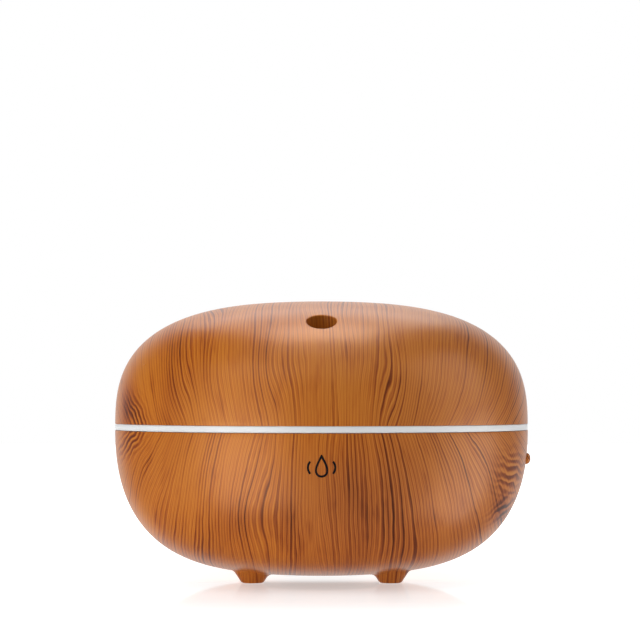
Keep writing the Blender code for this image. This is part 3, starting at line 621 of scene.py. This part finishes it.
def wood_print(name, fan, knots, print_and_painted_light_patches, flames, seed):
    """Lacquered wood grain, in planes that fan out away from the waist.

    fan is (spread per mm of height on the left, on the right, how far it goes on). knots are
    (middle, size, rings pushed aside) and print_and_painted_light_patches (middle, size, darkness),
    in mm: dark patches of the print, some painted shade, and painted light where darkness is below 0.
    flames are (middle, lean, size, spacing), as flame takes them.
    """
    shader = Shader(name, 0.33)
    rise = (shader.z - RING_Z / MM).math("ABSOLUTE")
    left, right, reach = fan
    slope = shader.x.spread(-10.0, 60.0, left, right)
    spread = rise.math("MINIMUM", reach)
    fanned = (1.0 - spread / (2 * reach)) * spread * slope + 1.0
    across = (shader.x / (fanned * PRINT_RADIUS)).math("ARCSINE") * PRINT_RADIUS
    slow = shader.noise((22, 90, 70), seed, 1.0)
    wavy = shader.noise((6, 40, 26), seed + 3, 2.0)
    rings = across / LINE_SPACING + slow * 2.6 + wavy * 0.5
    for middle, size, pushed in knots:
        rings = rings + shader.bump_at(middle, size) * pushed
    print_and_painted_light_tone, wild, burnt = 0.0, 0.0, 0.0
    # dark patches of the print, plus painted shade and painted light from some of the patches
    for middle, size, darkness in print_and_painted_light_patches:
        print_and_painted_light_tone = shader.bump_at(middle, size) * darkness + print_and_painted_light_tone
    for middle, lean, size, spacing in flames:
        lines, share = flame(shader, middle, lean, size, spacing)
        burnt = lines + burnt
        wild = share + wild

    grained = shader.node("ShaderNodeCombineXYZ", across, shader.y, shader.z)
    shader.place = grained.outputs[0]
    ring = rings.math("FRACT")
    number = shader.node("ShaderNodeTexWhiteNoise", (0, 0, 0), rings.math("FLOOR"))
    number.noise_dimensions = "1D"
    strength = Value(shader, number.outputs[0])
    strength = strength * strength * 0.62 + 0.26
    region = shader.noise((14, 70, 40), seed + 7, 1.0).spread(-0.7, 0.7, 0.3, 1.0)
    region = region + shader.x.spread(30.0, 75.0, 0.0, 0.3)
    line = ring.spread(0.15, 0.6) * ring.spread(0.68, 0.96, 1.0, 0.0) * strength * region
    fine_ring = (rings * 2.3 + shader.noise((2, 30, 24), seed + 9) * 0.3).math("FRACT")
    fine = fine_ring.spread(0.1, 0.6) * fine_ring.spread(0.7, 1.0, 1.0, 0.0)
    fibre = shader.noise((0.4, 16, 10), seed + 13, 3.0, 0.6)
    brush = shader.noise((3.2, 40, 16), seed + 17, 2.0).spread(0.0, 0.9)
    cloud = shader.noise((16, 60, 40), seed + 19, 1.0)
    calm = line * 0.84 + fine * 0.2
    tone = calm * (1.0 - wild) + burnt * 0.75 + fibre * 0.08 + brush * 0.2 + cloud * 0.1 + print_and_painted_light_tone + 0.04
    light = shader.ramp(
        tone,
        [
            (0.0, linear(206, 126, 38)),
            (0.3, linear(184, 98, 25)),
            (0.6, linear(140, 62, 16)),
            (0.85, linear(96, 38, 13)),
            (1.0, linear(70, 27, 12)),
        ],
    )
    browner = shader.noise((40, 80, 60), seed + 21, 1.0) * 0.6 + shader.x / 110.0
    tinted = shader.node("ShaderNodeHueSaturation")
    give(tinted, {"Hue": 0.503, "Saturation": 0.94, "Value": 0.88, "Color": light})
    shader.colour(shader.mix(browner.spread(-0.9, 0.9, 0.0, 0.6), light, tinted.outputs[0]))
    give(shader.surface, {"Specular IOR Level": 0.35, "Specular Tint": (1.0, 0.75, 0.5, 1)})
    shader.relief(line * -1.0, 0.008 * MM)
    return shader.material


EVEN = (0.5,) * 3


def plain_finish(name, colour, roughness, metallic=0.0, grain=EVEN, depth=0.006, change=0.08, more=None):
    """A finish of one stuff, whose colour, sheen and surface vary a little. grain and depth are in mm.

    more holds further inputs of the Principled shader.
    """
    shader = Shader(name, roughness, metallic)
    specks = shader.noise(grain, 1.0, 3.0)
    blotches = shader.noise([g * 30 for g in grain], 5.0)
    tone = (specks * 0.5 + blotches * 0.5).spread(-1.0, 1.0)
    dark, light = ([c * (1 + change * s) for c in colour] for s in (-1, 1))
    shader.colour(shader.mix(tone, dark, light))
    rough = tone.spread(0.0, 1.0, roughness * 0.88, roughness * 1.12)
    give(shader.surface, {"Roughness": rough, **(more or {})})
    shader.relief(specks, depth * MM)
    return shader


def circuit_board():
    """Green mask over faint copper tracks."""
    shader = plain_finish("circuit_board", (0.02, 0.15, 0.06), 0.38, more={"Coat Weight": 0.3})
    tracks = shader.node("ShaderNodeTexBrick", shader.place, (0.015, 0.13, 0.05, 1), (0.02, 0.15, 0.06, 1))
    give(tracks, {"Mortar": (0.05, 0.24, 0.09, 1), "Scale": 0.16, "Mortar Size": 0.03})
    shader.colour(tracks.outputs[0])
    return shader


def windings():
    """Copper wire laid in fine turns."""
    shader = plain_finish("copper", (0.72, 0.3, 0.12), 0.32, 1.0, change=0.12)
    wave = shader.node("ShaderNodeTexWave", shader.place)
    wave.bands_direction = "Z"
    give(wave, {"Scale": 0.55, "Distortion": 0.4})
    shader.relief(Value(shader, wave.outputs["Fac"]), 0.08 * MM)
    return shader


UPPER_PRINT = wood_print(
    "wood_print_cover",
    fan=(0.0056, 0.0095, 40.0),
    knots=[((-19, -80, 84), (5, 40, 13), 1.6), ((29, -75, 82), (6, 40, 16), -2.6)],
    print_and_painted_light_patches=[
        ((-77, -34, 70), (3.5, 24, 9), 0.34),
        ((-58, -58, 78), (4, 30, 11), 0.12),
        # painted light: lightens the wall inside the outlet's bore, as if it were lit
        ((0, -59, 96), (7, 6, 7), -0.3),
    ],
    flames=[((-72, -42, 66), 28, (4.5, 9), 1.7)],
    seed=2.0,
)
LOWER_PRINT = wood_print(
    "wood_print",
    fan=(0.0088, 0.0125, 50.0),
    knots=[((-26, -78, 30), (8, 40, 14), 2.2)],
    print_and_painted_light_patches=[
        ((-33, -76, 26), (9, 30, 9), 0.1),
        ((-14, -84, 28), (4, 30, 12), 0.16),
        ((8, -85, 34), (7, 30, 20), 0.06),
        # painted shade: a wide darkening of the bowl's lower front, towards the bottom
        ((22, -78, 26), (48, 40, 32), 0.2),
        ((72, -32, 29), (4, 24, 5), 0.34),
    ],
    flames=[
        ((-75, -40, 57), -38, (4.5, 9), 1.9),
        ((75.5, -38, 44), 74, (8, 6.5), 2.7),
        ((73, -34, 30), -56, (4, 7), 2.2),
    ],
    seed=8.0,
)
FROSTED = {"Subsurface Weight": 0.35, "Subsurface Radius": (0.004, 0.004, 0.005), "Subsurface Scale": 1.0}
RUBBERY = {"Subsurface Weight": 0.25, "Subsurface Radius": (0.002, 0.002, 0.002)}
FAINTLY_LIT = {"Emission Color": (1.0, 0.93, 0.7, 1), "Emission Strength": 0.15}
PLAIN = [
    plain_finish("frosted_acrylic", (0.85, 0.87, 0.9), 0.42, grain=(0.8,) * 3, change=0.03, more=FROSTED),
    plain_finish("silicone", (0.66, 0.66, 0.64), 0.6, grain=(0.7,) * 3, change=0.05, more=RUBBERY),
    plain_finish("white_plastic", (0.8, 0.79, 0.76), 0.42, change=0.02),
    plain_finish("brown_plastic", (0.24, 0.1, 0.04), 0.55, depth=0.02),
    plain_finish("black_plastic", (0.02, 0.02, 0.02), 0.48, depth=0.01, change=0.3),
    plain_finish("steel", (0.6, 0.6, 0.62), 0.3, 1.0, grain=(0.15, 2.0, 0.15)),
    plain_finish("aluminium", (0.7, 0.71, 0.72), 0.38, 1.0, grain=(0.12, 0.12, 3.0)),
    plain_finish("ceramic_disc", (0.75, 0.74, 0.7), 0.3, change=0.04, more={"Coat Weight": 0.2}),
    plain_finish("lamp", (0.85, 0.78, 0.45), 0.22, change=0.05, more=FAINTLY_LIT),
    plain_finish("lead_cover", (0.55, 0.05, 0.04), 0.45, change=0.1),
    plain_finish("ink", (0.004, 0.004, 0.005), 0.7, change=0.3, more={"Specular IOR Level": 0.08}),
    circuit_board(),
    windings(),
]
FINISHES = {shader.name: shader.material for shader in PLAIN}
FINISHES["wood_print"] = LOWER_PRINT


# ---- shells


def lip(bm, rim, inner_rim, dome, inner, z, side):
    """Closes a shell between the rims of its two skins. side is -1 where the lip faces down."""
    count = len(rim)
    out, back = dome.radius_at(z), inner.radius_at(z)
    outside = arc((out - LIP, z), LIP, 0, side * 90)[1:]
    inside = arc((back + LIP, z), LIP, side * 90, side * 180)[:-1]
    last = bridge_rows(bm, rim, *(circle(r, h, count) for r, h in outside + inside))
    bridge(bm, last, inner_rim)


def build_upper_shell():
    """The top cover, with the slanted bore and its collar."""
    outer, inner = Dome(UPPER, 1), Dome(UPPER, 1, WALL)
    middle = (0, -OUTLET_REACH, outer.z_at(0, -OUTLET_REACH))
    axis = (0, -math.sin(OUTLET_TILT), math.cos(OUTLET_TILT))
    bore = Hole(middle, axis, (1, 0, 0), round_outline(OUTLET_RADIUS, 72))
    collar = Hole(middle, axis, (1, 0, 0), round_outline(COLLAR_RADIUS, 72))
    rim_z = COVER_LOW.z - RIM_DROP + LIP
    bm = bmesh.new()
    rim, loop = skin(bm, outer, rim_z, FINE, [bore.on(outer, OUTLET_FILLET)])
    inner_rim, collar_loop = skin(bm, inner, rim_z, COARSE, [collar.on(inner)])
    wall = mouth(bm, outer, bore, loop, OUTLET_FILLET)
    last = bridge_rows(
        bm,
        wall,
        bore.level(0, 4.2 * MM),
        bore.level(0, COLLAR_DEPTH - EDGE),
        bore.level(EDGE, COLLAR_DEPTH),
        collar.level(-EDGE, COLLAR_DEPTH),
        collar.level(0, COLLAR_DEPTH - EDGE),
    )
    bridge(bm, last, collar_loop)
    lip(bm, rim, inner_rim, outer, inner, rim_z, -1)
    posts = [around(78 * MM, a) for a in (90, 210, 330)]
    add_rods(bm, posts, 2.6 * MM, 69.3 * MM, inner.z_at(0, 78 * MM) + 1.2 * MM, 24)
    dress(add_object("upper_shell", bm), "wood_print", "cover", ["top_cover"], UPPER_PRINT)


def around(reach, degrees):
    angle = math.radians(degrees)
    return reach * math.cos(angle), reach * math.sin(angle)


class Foot:
    """A stub foot that tapers down from the dome to its rounded end."""

    def __init__(self, middle, dome):
        self.middle = middle
        self.dome = dome
        self.angles = turns(FOOT_COUNT)
        self.reaches = [self.reach(a) for a in self.angles]

    def reach(self, angle):
        """How far from the foot's axis its cone meets the dome, in one direction."""

        def gap(out):
            return self.cone_z(out) - self.above(angle, out).z

        return crossing(gap, FOOT_RADIUS, FOOT_RADIUS * 3)

    def cone_z(self, out):
        return FOOT_BOTTOM_Z + (out - FOOT_RADIUS) / FOOT_SLOPE

    def point(self, angle, out, z):
        return Vector((self.middle.x + out * math.cos(angle), self.middle.y + out * math.sin(angle), z))

    def above(self, angle, out):
        """The place on the dome at a distance from the foot's axis."""
        x, y, _ = self.point(angle, out, 0)
        return Vector((x, y, self.dome.z_at(x, y)))

    def on_dome(self, grow):
        return [self.above(a, out + grow) for a, out in zip(self.angles, self.reaches)]

    def on_cone(self, drop):
        """Points on the cone, below where it meets the dome by drop along its side."""
        slope = math.atan(FOOT_SLOPE)
        down = Vector((math.sin(slope), math.cos(slope))) * drop
        pairs = zip(self.angles, self.reaches)
        return [self.point(a, out - down.x, self.cone_z(out) - down.y) for a, out in pairs]

    def circle(self, radius, z):
        return [self.point(a, radius, z) for a in self.angles]

    def add(self, bm, loop):
        """Lays the foot down from its loop on the dome: blend, side, rounded end and screw recess."""
        blend = blend_rows(self.on_dome(FOOT_BLEND), self.on_dome(0), self.on_cone(FOOT_BLEND))
        last = bridge_rows(bm, loop, *blend)
        end = 0.8 * MM
        slope = math.atan(FOOT_SLOPE)
        section = [
            (FOOT_RADIUS + end * math.sin(slope), FOOT_BOTTOM_Z + end * math.cos(slope)),
            (FOOT_RADIUS, FOOT_BOTTOM_Z),
            (FOOT_RADIUS - end * 0.7, FOOT_BOTTOM_Z),
        ]
        starts, corners, ends = (self.circle(r, z) for r, z in section)
        recess = [self.circle(3.4 * MM, z) for z in (FOOT_BOTTOM_Z + 0.1 * MM, LEDGE_Z)]
        last = bridge_rows(bm, last, starts, *blend_rows(starts, corners, ends), *recess)
        bm.faces.new(last)


def build_lower_shell():
    """The bowl, with its feet, the buttons' windows, the power inlet's hole and the open underside."""
    outer, inner = Dome(LOWER, -1), Dome(LOWER, -1, WALL)
    rim_z = SHELL_HIGH.z - LIP
    feet = [Foot(middle, outer) for middle in FOOT_MIDDLES]
    window_x = outer.radius_at(BUTTON_Z)
    outline = pill_outline(9.6 * MM, 5.1 * MM)
    windows = [Hole((window_x, y, BUTTON_Z), (1, 0, 0), (0, 1, 0), outline) for y in BUTTON_YS]
    inlet = Hole((0, outer.radius_at(JACK_Z), JACK_Z), (0, 1, 0), (1, 0, 0), round_outline(5.1 * MM, 48))
    holes = windows + [inlet]
    base_edge = circle(REBATE_RADIUS + EDGE, outer.z_at(REBATE_RADIUS + EDGE, 0), 144)
    floor_radius = inner.section(inner.share_at_height(RING_Z - FLOOR_Z))[0]
    bm = bmesh.new()
    outlines = [base_edge] + [f.on_dome(FOOT_BLEND) for f in feet] + [h.on(outer, EDGE) for h in holes]
    rim, base_loop, *loops = skin(bm, outer, rim_z, FINE, outlines)
    inner_outlines = [circle(floor_radius, FLOOR_Z, 144)] + [h.on(inner) for h in holes]
    inner_rim, floor_loop, *inner_loops = skin(bm, inner, rim_z, COARSE, inner_outlines)
    for foot, loop in zip(feet, loops):
        foot.add(bm, loop)
    for hole, loop, inner_loop in zip(holes, loops[len(feet) :], inner_loops):
        bridge(bm, mouth(bm, outer, hole, loop, EDGE), inner_loop)
    underside = [
        (REBATE_RADIUS, outer.z_at(REBATE_RADIUS, 0) + EDGE),
        (REBATE_RADIUS, LEDGE_Z),
        (INLET_RADIUS + EDGE, LEDGE_Z),
        (INLET_RADIUS, LEDGE_Z + EDGE),
        (INLET_RADIUS, FLOOR_Z - EDGE),
        (INLET_RADIUS + EDGE, FLOOR_Z),
    ]
    last = bridge_rows(bm, base_loop, *(circle(r, z, 144) for r, z in underside))
    bridge(bm, last, floor_loop)
    lip(bm, rim, inner_rim, outer, inner, rim_z, 1)
    add_rods(bm, [(p.x, p.y) for p in FOOT_MIDDLES], 4 * MM, FLOOR_Z - 0.8 * MM, 8 * MM)
    add_rods(bm, [(16 * MM, 16 * MM), (-16 * MM, -16 * MM)], 1.3 * MM, FLOOR_Z - 0.5 * MM, 12 * MM)
    dress(add_object("bowl", bm), "wood_print", "base", ["lower_shell"])


def build_buttons():
    """Two domed pills, each with the flange that holds it in and the stem that works its switch."""
    for name, y in zip(("mist_button", "light_button"), BUTTON_YS):
        low = extent(name)[0]
        bm = bmesh.new()
        cap = Hole((BUTTON_FACE_X, y, BUTTON_Z), (1, 0, 0), (0, 1, 0), pill_outline(9 * MM, 4.8 * MM))
        dome = arc((-1.9 * MM, 0), 1.9 * MM, 90, 0, 8)
        rows = [(-2.2 * MM, 0.0)] + [(grow, 1.9 * MM - up) for grow, up in dome] + [(0.0, 6.2 * MM)]
        loft(bm, *(cap.level(grow, depth) for grow, depth in rows))
        flange = Hole((80.2 * MM, y, BUTTON_Z), (1, 0, 0), (0, 1, 0), pill_outline(10.6 * MM, 6.2 * MM))
        rows = [(-0.2, 0), (0, 0.2), (0, 2.1), (-0.2, 2.3)]
        loft(bm, *(flange.level(grow * MM, depth * MM) for grow, depth in rows))
        stem = Matrix.Translation((0, y, BUTTON_Z)) @ Matrix.Rotation(math.pi / 2, 4, "Y")
        turn(bm, rod_section(1.5 * MM, low.x, 78.2 * MM), False, 24, stem)
        dress(add_object(f"{name}_pill", bm), "wood_print", name, [name])


# ---- light ring, tank and inner cover


def build_light_ring():
    """The frosted band between the shells, with the lips that centre them, and the seal inside it."""
    low, high, _ = extent("light_ring")
    band_radius = RADIUS - 0.05 * MM
    band_low = RING_LOW_Z - 0.12 * MM
    lip_radius, lip_inside, inside = 81.6 * MM, 79.4 * MM, 77.5 * MM
    profile = [
        (lip_radius, high.z),
        (lip_radius, RING_HIGH_Z),
        (band_radius, RING_HIGH_Z),
        (band_radius, band_low),
        (lip_radius, band_low),
        (lip_radius, low.z),
        (lip_inside, low.z),
        (lip_inside, RING_LOW_Z),
        (inside, RING_LOW_Z),
        (inside, RING_HIGH_Z),
        (lip_inside, RING_HIGH_Z),
        (lip_inside, high.z),
    ]
    band = turned("glow_ring", profile, True, 240, edge=0.15 * MM)
    dress(band, "frosted_acrylic", "base", ["light_ring"])
    low, high, _ = extent("tank_gasket")
    seal = turned("tank_seal", ring_section(77.7 * MM, high.x, low.z, high.z), True, 180)
    dress(seal, "silicone", "base", ["tank_gasket"])


def build_water_tank():
    """The basin, with its air duct and the posts under it."""
    rim_z = extent("water_tank")[1].z
    flange, flange_z = 79 * MM, 58 * MM
    collar, collar_inside, collar_z = 17.5 * MM, 12.4 * MM, 30.2 * MM  # under the ultrasonic disc
    disc_hole, seat_z, floor_z = 8.2 * MM, 34 * MM, 36.2 * MM
    corner = (59.4 * MM, 43.2 * MM)
    profile = [
        (flange, rim_z),
        (flange, flange_z),
        (69.4 * MM, flange_z),
        *arc(corner, 8.4 * MM, 0, -90, 10),
        (collar, seat_z),
        (collar, collar_z),
        (collar_inside, collar_z),
        (collar_inside, seat_z),
        (disc_hole, seat_z),
        (disc_hole, floor_z),
        *arc(corner, 7 * MM, -90, 0, 10),
        (66.8 * MM, rim_z),
    ]
    tank = turned("basin", profile, True, 144, edge=0.6 * MM)
    bm = bmesh.new()
    add_rods(bm, [DUCT], 8.5 * MM, 34.8 * MM, 63 * MM, 64)
    add_rods(bm, [(p.x, p.y) for p in FOOT_MIDDLES], 3.6 * MM, 8.3 * MM, 35.5 * MM)
    add_rods(bm, [(-22.5 * MM, 36 * MM), (22.5 * MM, 36 * MM)], 2.6 * MM, 21.9 * MM, 35.5 * MM)
    lamp_posts = [around(75.5 * MM, a) for a in (60, 180, 300)]
    add_rods(bm, lamp_posts, 2.1 * MM, 56.2 * MM, 58.8 * MM)
    add_rods(bm, lamp_posts, 1.0 * MM, 53.9 * MM, 57 * MM)
    combine(tank, add_object("under_tank", bm), "UNION")
    duct = turned("duct", rod_section(7 * MM, 28 * MM, 70 * MM), False, 64, at(*DUCT))
    combine(tank, duct, "DIFFERENCE")
    dress(tank, "white_plastic", "base", ["water_tank"])


def build_air_hood():
    """The cap over the air duct, held clear of it by three ribs."""
    low, high, _ = extent("air_hood")
    outer, inner = 12.5 * MM, 11 * MM
    profile = [
        (0, high.z),
        *arc((outer - 2.2 * MM, high.z - 2.2 * MM), 2.2 * MM, 90, 0, 8),
        (outer, low.z),
        (inner, low.z),
        *arc((inner - 1.2 * MM, high.z - 2.7 * MM), 1.2 * MM, 0, 90, 5),
        (0, high.z - 1.5 * MM),
    ]
    bm = bmesh.new()
    turn(bm, profile, False, 96, at(*DUCT))
    for degrees in (50, 170, 290):
        facing = at(*DUCT) @ Matrix.Rotation(math.radians(degrees), 4, "Z")
        add_box(bm, (10.2 * MM, 0, 64 * MM), (2.6 * MM, 1.6 * MM, 7 * MM), facing)
    dress(add_object("duct_cap", bm), "white_plastic", "base", ["air_hood"])


def build_inner_cover():
    """The liner under the top cover: drip skirt, flange, low dome and the chimney up to the outlet."""
    skirt, wall, flange_top = 65.8 * MM, 1.7 * MM, 69 * MM
    low = extent("inner_cover")[0]
    power = 2 / 2.2

    def low_dome(radius, rise):
        angles = [math.pi / 2 * i / 20 for i in range(21)]
        return [(radius * math.sin(a) ** power, flange_top + rise * math.cos(a) ** power) for a in angles]

    profile = [
        *low_dome(skirt, 21 * MM),
        (81.4 * MM, flange_top),
        (81.4 * MM, 67.4 * MM),
        (skirt, 67.4 * MM),
        (skirt, low.z),
        (skirt - wall, low.z),
        *low_dome(skirt - wall, 21 * MM - wall)[::-1],
    ]
    liner = turned("liner", profile, False, 144, edge=0.4 * MM)
    chimney = at(0, -OUTLET_REACH, Dome(UPPER, 1).z_at(0, -OUTLET_REACH), OUTLET_TILT)
    tube = turned("tube", rod_section(8.2 * MM, -30 * MM, -11.1 * MM), False, 72, chimney)
    combine(liner, tube, "UNION")
    bore = turned("bore", rod_section(6.6 * MM, -38 * MM, 0), False, 72, chimney)
    combine(liner, bore, "DIFFERENCE")
    dress(liner, "white_plastic", "cover", ["inner_cover"])
    ring = ring_section(6.3 * MM, COLLAR_RADIUS, -10.8 * MM, -9.3 * MM)
    dress(turned("collar_seal", ring, True, 72, chimney), "silicone", "cover", ["outlet_seal"])


# ---- underside and back


def build_foot_pads():
    for number, middle in enumerate(FOOT_MIDDLES, 1):
        low, high, _ = extent(f"foot_pad_{number}")
        section = rod_section(high.x - middle.x, low.z, high.z)
        pad = turned(f"pad_{number}", section, False, 48, at(middle.x, middle.y), 0.5 * MM)
        dress(pad, "silicone", "base", [f"foot_pad_{number}"])


def build_base_plate():
    """The round plate over the fan, with its air slots."""
    low, high, _ = extent("base_plate")
    plate = turned("grille", rod_section(high.x, low.z, high.z), False, 144)
    bm = bmesh.new()
    for number in range(-3, 4):
        y = number * 4.6 * MM
        length = 2 * math.sqrt((16.5 * MM) ** 2 - y**2)
        slot = Hole((0, y, high.z + 1 * MM), (0, 0, 1), (1, 0, 0), pill_outline(length, 2.4 * MM, 8))
        loft(bm, slot.level(0, 0), slot.level(0, 4 * MM))
    add_rods(bm, [(-23 * MM, 0), (23 * MM, 0)], 1.2 * MM, 1 * MM, 6 * MM)
    combine(plate, add_object("slots", bm), "DIFFERENCE")
    dress(plate, "brown_plastic", "base", ["base_plate"])


def build_power_inlet():
    """The barrel socket, with its nose in the back of the bowl and its pin in the nose."""
    low, high, _ = extent("dc_jack")
    nose = Matrix.Translation((0, 0, JACK_Z)) @ Matrix.Rotation(-math.pi / 2, 4, "X")
    bm = bmesh.new()
    add_box(bm, (0, low.y + 6 * MM, JACK_Z), (9 * MM, 12 * MM, high.z - low.z))
    jack = add_object("socket", bm)
    combine(jack, turned("nose", rod_section(4.6 * MM, 68 * MM, high.y), False, 64, nose), "UNION")
    bore = turned("bore", rod_section(2.85 * MM, 64 * MM, 82 * MM), False, 64, nose)
    combine(jack, bore, "DIFFERENCE")
    pin = rod_section(1.05 * MM, 63 * MM, high.y - 1 * MM)
    combine(jack, turned("pin", pin, False, 32, nose, 0.5 * MM), "UNION")
    dress(jack, "black_plastic", "base", ["dc_jack"])


# ---- printed mark


def stroke(bm, points, width, dome):
    """A printed line on the front of a dome, along (across, height) points. It stands barely proud."""
    closed = math.dist(points[0], points[-1]) < 1e-9
    path = [Vector(p) for p in (points[:-1] if closed else points)]
    rows = []
    for i, point in enumerate(path):
        before = path[i - 1] if closed or i else point
        after = path[(i + 1) % len(path)] if closed or i < len(path) - 1 else point
        side = (after - before).normalized().orthogonal() * width / 2
        left, right = point + side, point - side
        corners = [(left, PRINT_DEPTH), (right, PRINT_DEPTH), (right, -0.3 * MM), (left, -0.3 * MM)]
        rows.append(row(bm, [on_front(dome, p, proud) for p, proud in corners]))
    for first, second in zip(rows, rows[1:] + (rows[:1] if closed else [])):
        bridge(bm, first, second)
    if not closed:
        bm.faces.new(rows[0])
        bm.faces.new(rows[-1])


def on_front(dome, point, proud):
    radius = dome.radius_at(point.y) + proud
    return Vector((point.x, -math.sqrt(radius**2 - point.x**2), point.y))


def build_mark():
    """A plain drop between two arcs of mist."""
    dome = Dome(LOWER, -1)
    middle, width = 48.4 * MM, 0.8 * MM
    bm = bmesh.new()
    drop = []
    for i in range(49):
        a = 2 * math.pi * i / 48
        drop.append((3.0 * MM * math.sin(a) * math.sin(a / 2) ** 1.5, middle + 3.9 * MM * math.cos(a)))
    stroke(bm, drop, width, dome)
    mist = arc((1.7 * MM, middle - 0.6 * MM), 3.4 * MM, -42, 42, 16)
    for side in (-1, 1):
        stroke(bm, [(side * x, z) for x, z in mist], width, dome)
    piece = add_object("drop_mark", bm)
    piece.data.materials.append(FINISHES["ink"])
    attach(piece, "base")


build_upper_shell()
build_lower_shell()
build_buttons()
build_light_ring()
build_water_tank()
build_air_hood()
build_inner_cover()
build_foot_pads()
build_base_plate()
build_power_inlet()
build_mark()
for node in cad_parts.values():
    slot = node.data.materials[0].name
    node.data.materials[0] = FINISHES[slot]


# ---- studio


def table_finish():
    """A bright table that mirrors faintly in front of the object. Its own glow is dimmer under the bowl
    and just in front of it, as a painted shadow. From below it is clear.
    """
    shader = Shader("table", 0.9)
    tone = shader.noise((60, 60, 60), 3.0).spread(-1.0, 1.0)
    shader.colour(shader.mix(tone, (0.5, 0.5, 0.5), (0.52, 0.52, 0.52)))
    # painted shadow: the table's glow is dimmed in a soft patch under the bowl and in front of it
    wide, deep = shader.x * 1.5, (shader.y + 42.0) * 2.6
    away = (wide * wide + deep * deep).math("SQRT")
    glow = away.spread(10.0, 125.0, TABLE_GLOW_IN_PAINTED_SHADOW, OPEN_TABLE_GLOW) + shader.y.spread(60.0, 400.0, 0.0, 0.3)
    give(shader.surface, {"IOR": 1.0, "Emission Color": (1, 1, 1, 1), "Emission Strength": glow})
    sheen = shader.node("ShaderNodeBsdfGlossy", (1, 1, 1, 1), 0.06)
    share = shader.y.spread(-215.0, -70.0, 0.0, TABLE_SHEEN) * shader.y.spread(-32.0, -12.0, 1.0, 0.0)
    share = share * shader.x.math("ABSOLUTE").spread(85.0, 150.0, 1.0, 0.0)
    both = shader.node("ShaderNodeMixShader", share, shader.surface.outputs[0], sheen.outputs[0])
    side = shader.node("ShaderNodeNewGeometry").outputs["Backfacing"]
    clear = shader.node("ShaderNodeBsdfTransparent")
    seen = shader.node("ShaderNodeMixShader", side, both.outputs[0], clear.outputs[0])
    give(shader.tree.nodes["Material Output"], {"Surface": seen.outputs[0]})
    return shader.material


def build_table():
    """The table, from 0.3 m in front of the object to far behind it.

    Returns a collection of what the low softboxes shine past, which is the table.
    """
    bm = bmesh.new()
    spread = Matrix.Translation((0, 1.0, 0)) @ Matrix.Diagonal((3.0, 1.3, 1.0, 1.0))
    bmesh.ops.create_grid(bm, x_segments=1, y_segments=1, size=1.0, matrix=spread)
    table = add_object("table", bm)
    table.data.materials.append(table_finish())
    table.visible_glossy = False  # the wood mirrors the dim room under it instead
    passed = bpy.data.collections.new("passed_by_low_lights")
    passed.objects.link(table)
    passed.collection_objects[0].light_linking.link_state = "EXCLUDE"
    return passed


def build_backdrop():
    """A white room round it all, which only the camera sees."""
    bm = bmesh.new()
    bmesh.ops.create_icosphere(bm, subdivisions=4, radius=6.0)
    backdrop = add_object("backdrop", bm)
    white = bpy.data.materials.new("backdrop")
    white.use_nodes = True
    tree = white.node_tree
    glow = tree.nodes.new("ShaderNodeEmission")
    give(tree.nodes["Material Output"], {"Surface": glow.outputs[0]})
    white.cycles.emission_sampling = "NONE"
    backdrop.data.materials.append(white)
    backdrop.visible_diffuse = False
    backdrop.visible_glossy = False
    backdrop.visible_transmission = False
    backdrop.visible_shadow = False


def softbox(name, azimuth, elevation, size, radiance, role=None, passed=None):
    """A soft light aimed at the object, of a size in degrees. Azimuth 0 is the front and 90 the right.

    role is "fill" for a light that makes no highlight and "gleam" for one that is only seen as one.
    passed is a collection of what doesn't block it.
    """
    distance = 0.9
    light = bpy.data.lights.new(name, "AREA")
    light.shape = "RECTANGLE"
    light.size, light.size_y = (2 * distance * math.tan(math.radians(d / 2)) for d in size)
    light.energy = radiance * math.pi * light.size * light.size_y
    holder = new_object(name, light)
    a, e = math.radians(azimuth), math.radians(elevation)
    away = Vector((math.sin(a) * math.cos(e), -math.cos(a) * math.cos(e), math.sin(e)))
    holder.location = Vector((0, 0, RING_Z)) + away * distance
    holder.rotation_mode = "QUATERNION"
    holder.rotation_quaternion = away.to_track_quat("Z", "Y")
    holder.visible_glossy = role != "fill"
    holder.visible_diffuse = role != "gleam"
    if passed:
        holder.light_linking.blocker_collection = passed


def build_world():
    """What the object mirrors besides the lights: white behind it, and a dim room in front."""
    world = bpy.data.worlds.new("studio")
    bpy.context.scene.world = world
    world.use_nodes = True
    tree = world.node_tree
    direction = tree.nodes.new("ShaderNodeTexCoord")
    parts = tree.nodes.new("ShaderNodeSeparateXYZ")
    feed(parts.inputs[0], direction.outputs["Generated"])
    back = tree.nodes.new("ShaderNodeMapRange")
    back.interpolation_type = "SMOOTHSTEP"
    for socket, given in zip(back.inputs, (parts.outputs["Y"], 0.66, 0.95, ROOM_LIGHT, 1.0)):
        feed(socket, given)
    give(tree.nodes["Background"], {"Color": (1, 1, 1, 1), "Strength": back.outputs[0]})


def build_camera():
    data = bpy.data.cameras.new("camera")
    data.lens = 117
    data.sensor_width = 36
    camera = new_object("camera", data)
    camera.location = (-0.0006, -0.860, 0.0748)
    camera.rotation_euler = (math.radians(90 + 2.07), 0, 0)
    bpy.context.scene.camera = camera


passed = build_table()
build_backdrop()
build_world()
softbox("overhead", 182, 54, (42, 40), 1.8)
softbox("top_gleam", 183, 82, (30, 24), 7.0, "gleam")
softbox("ceiling", 0, 82, (36, 34), 1.9)
softbox("front_top", -10, 54, (60, 40), 1.1)
softbox("left_fill", -62, 20, (50, 50), 1.35, "fill")
softbox("right_fill", 68, 20, (50, 50), 0.55, "fill")
softbox("left_gleam", -43, -20, (40, 46), 4.6, "gleam", passed)
softbox("left_high_gleam", -42, 28, (40, 40), 2.2, "gleam")
softbox("right_gleam", 86, -20, (36, 46), 3.4, "gleam", passed)
softbox("right_high_gleam", 80, 28, (40, 40), 2.2, "gleam")
build_camera()
bpy.context.scene.view_settings.view_transform = "Standard"
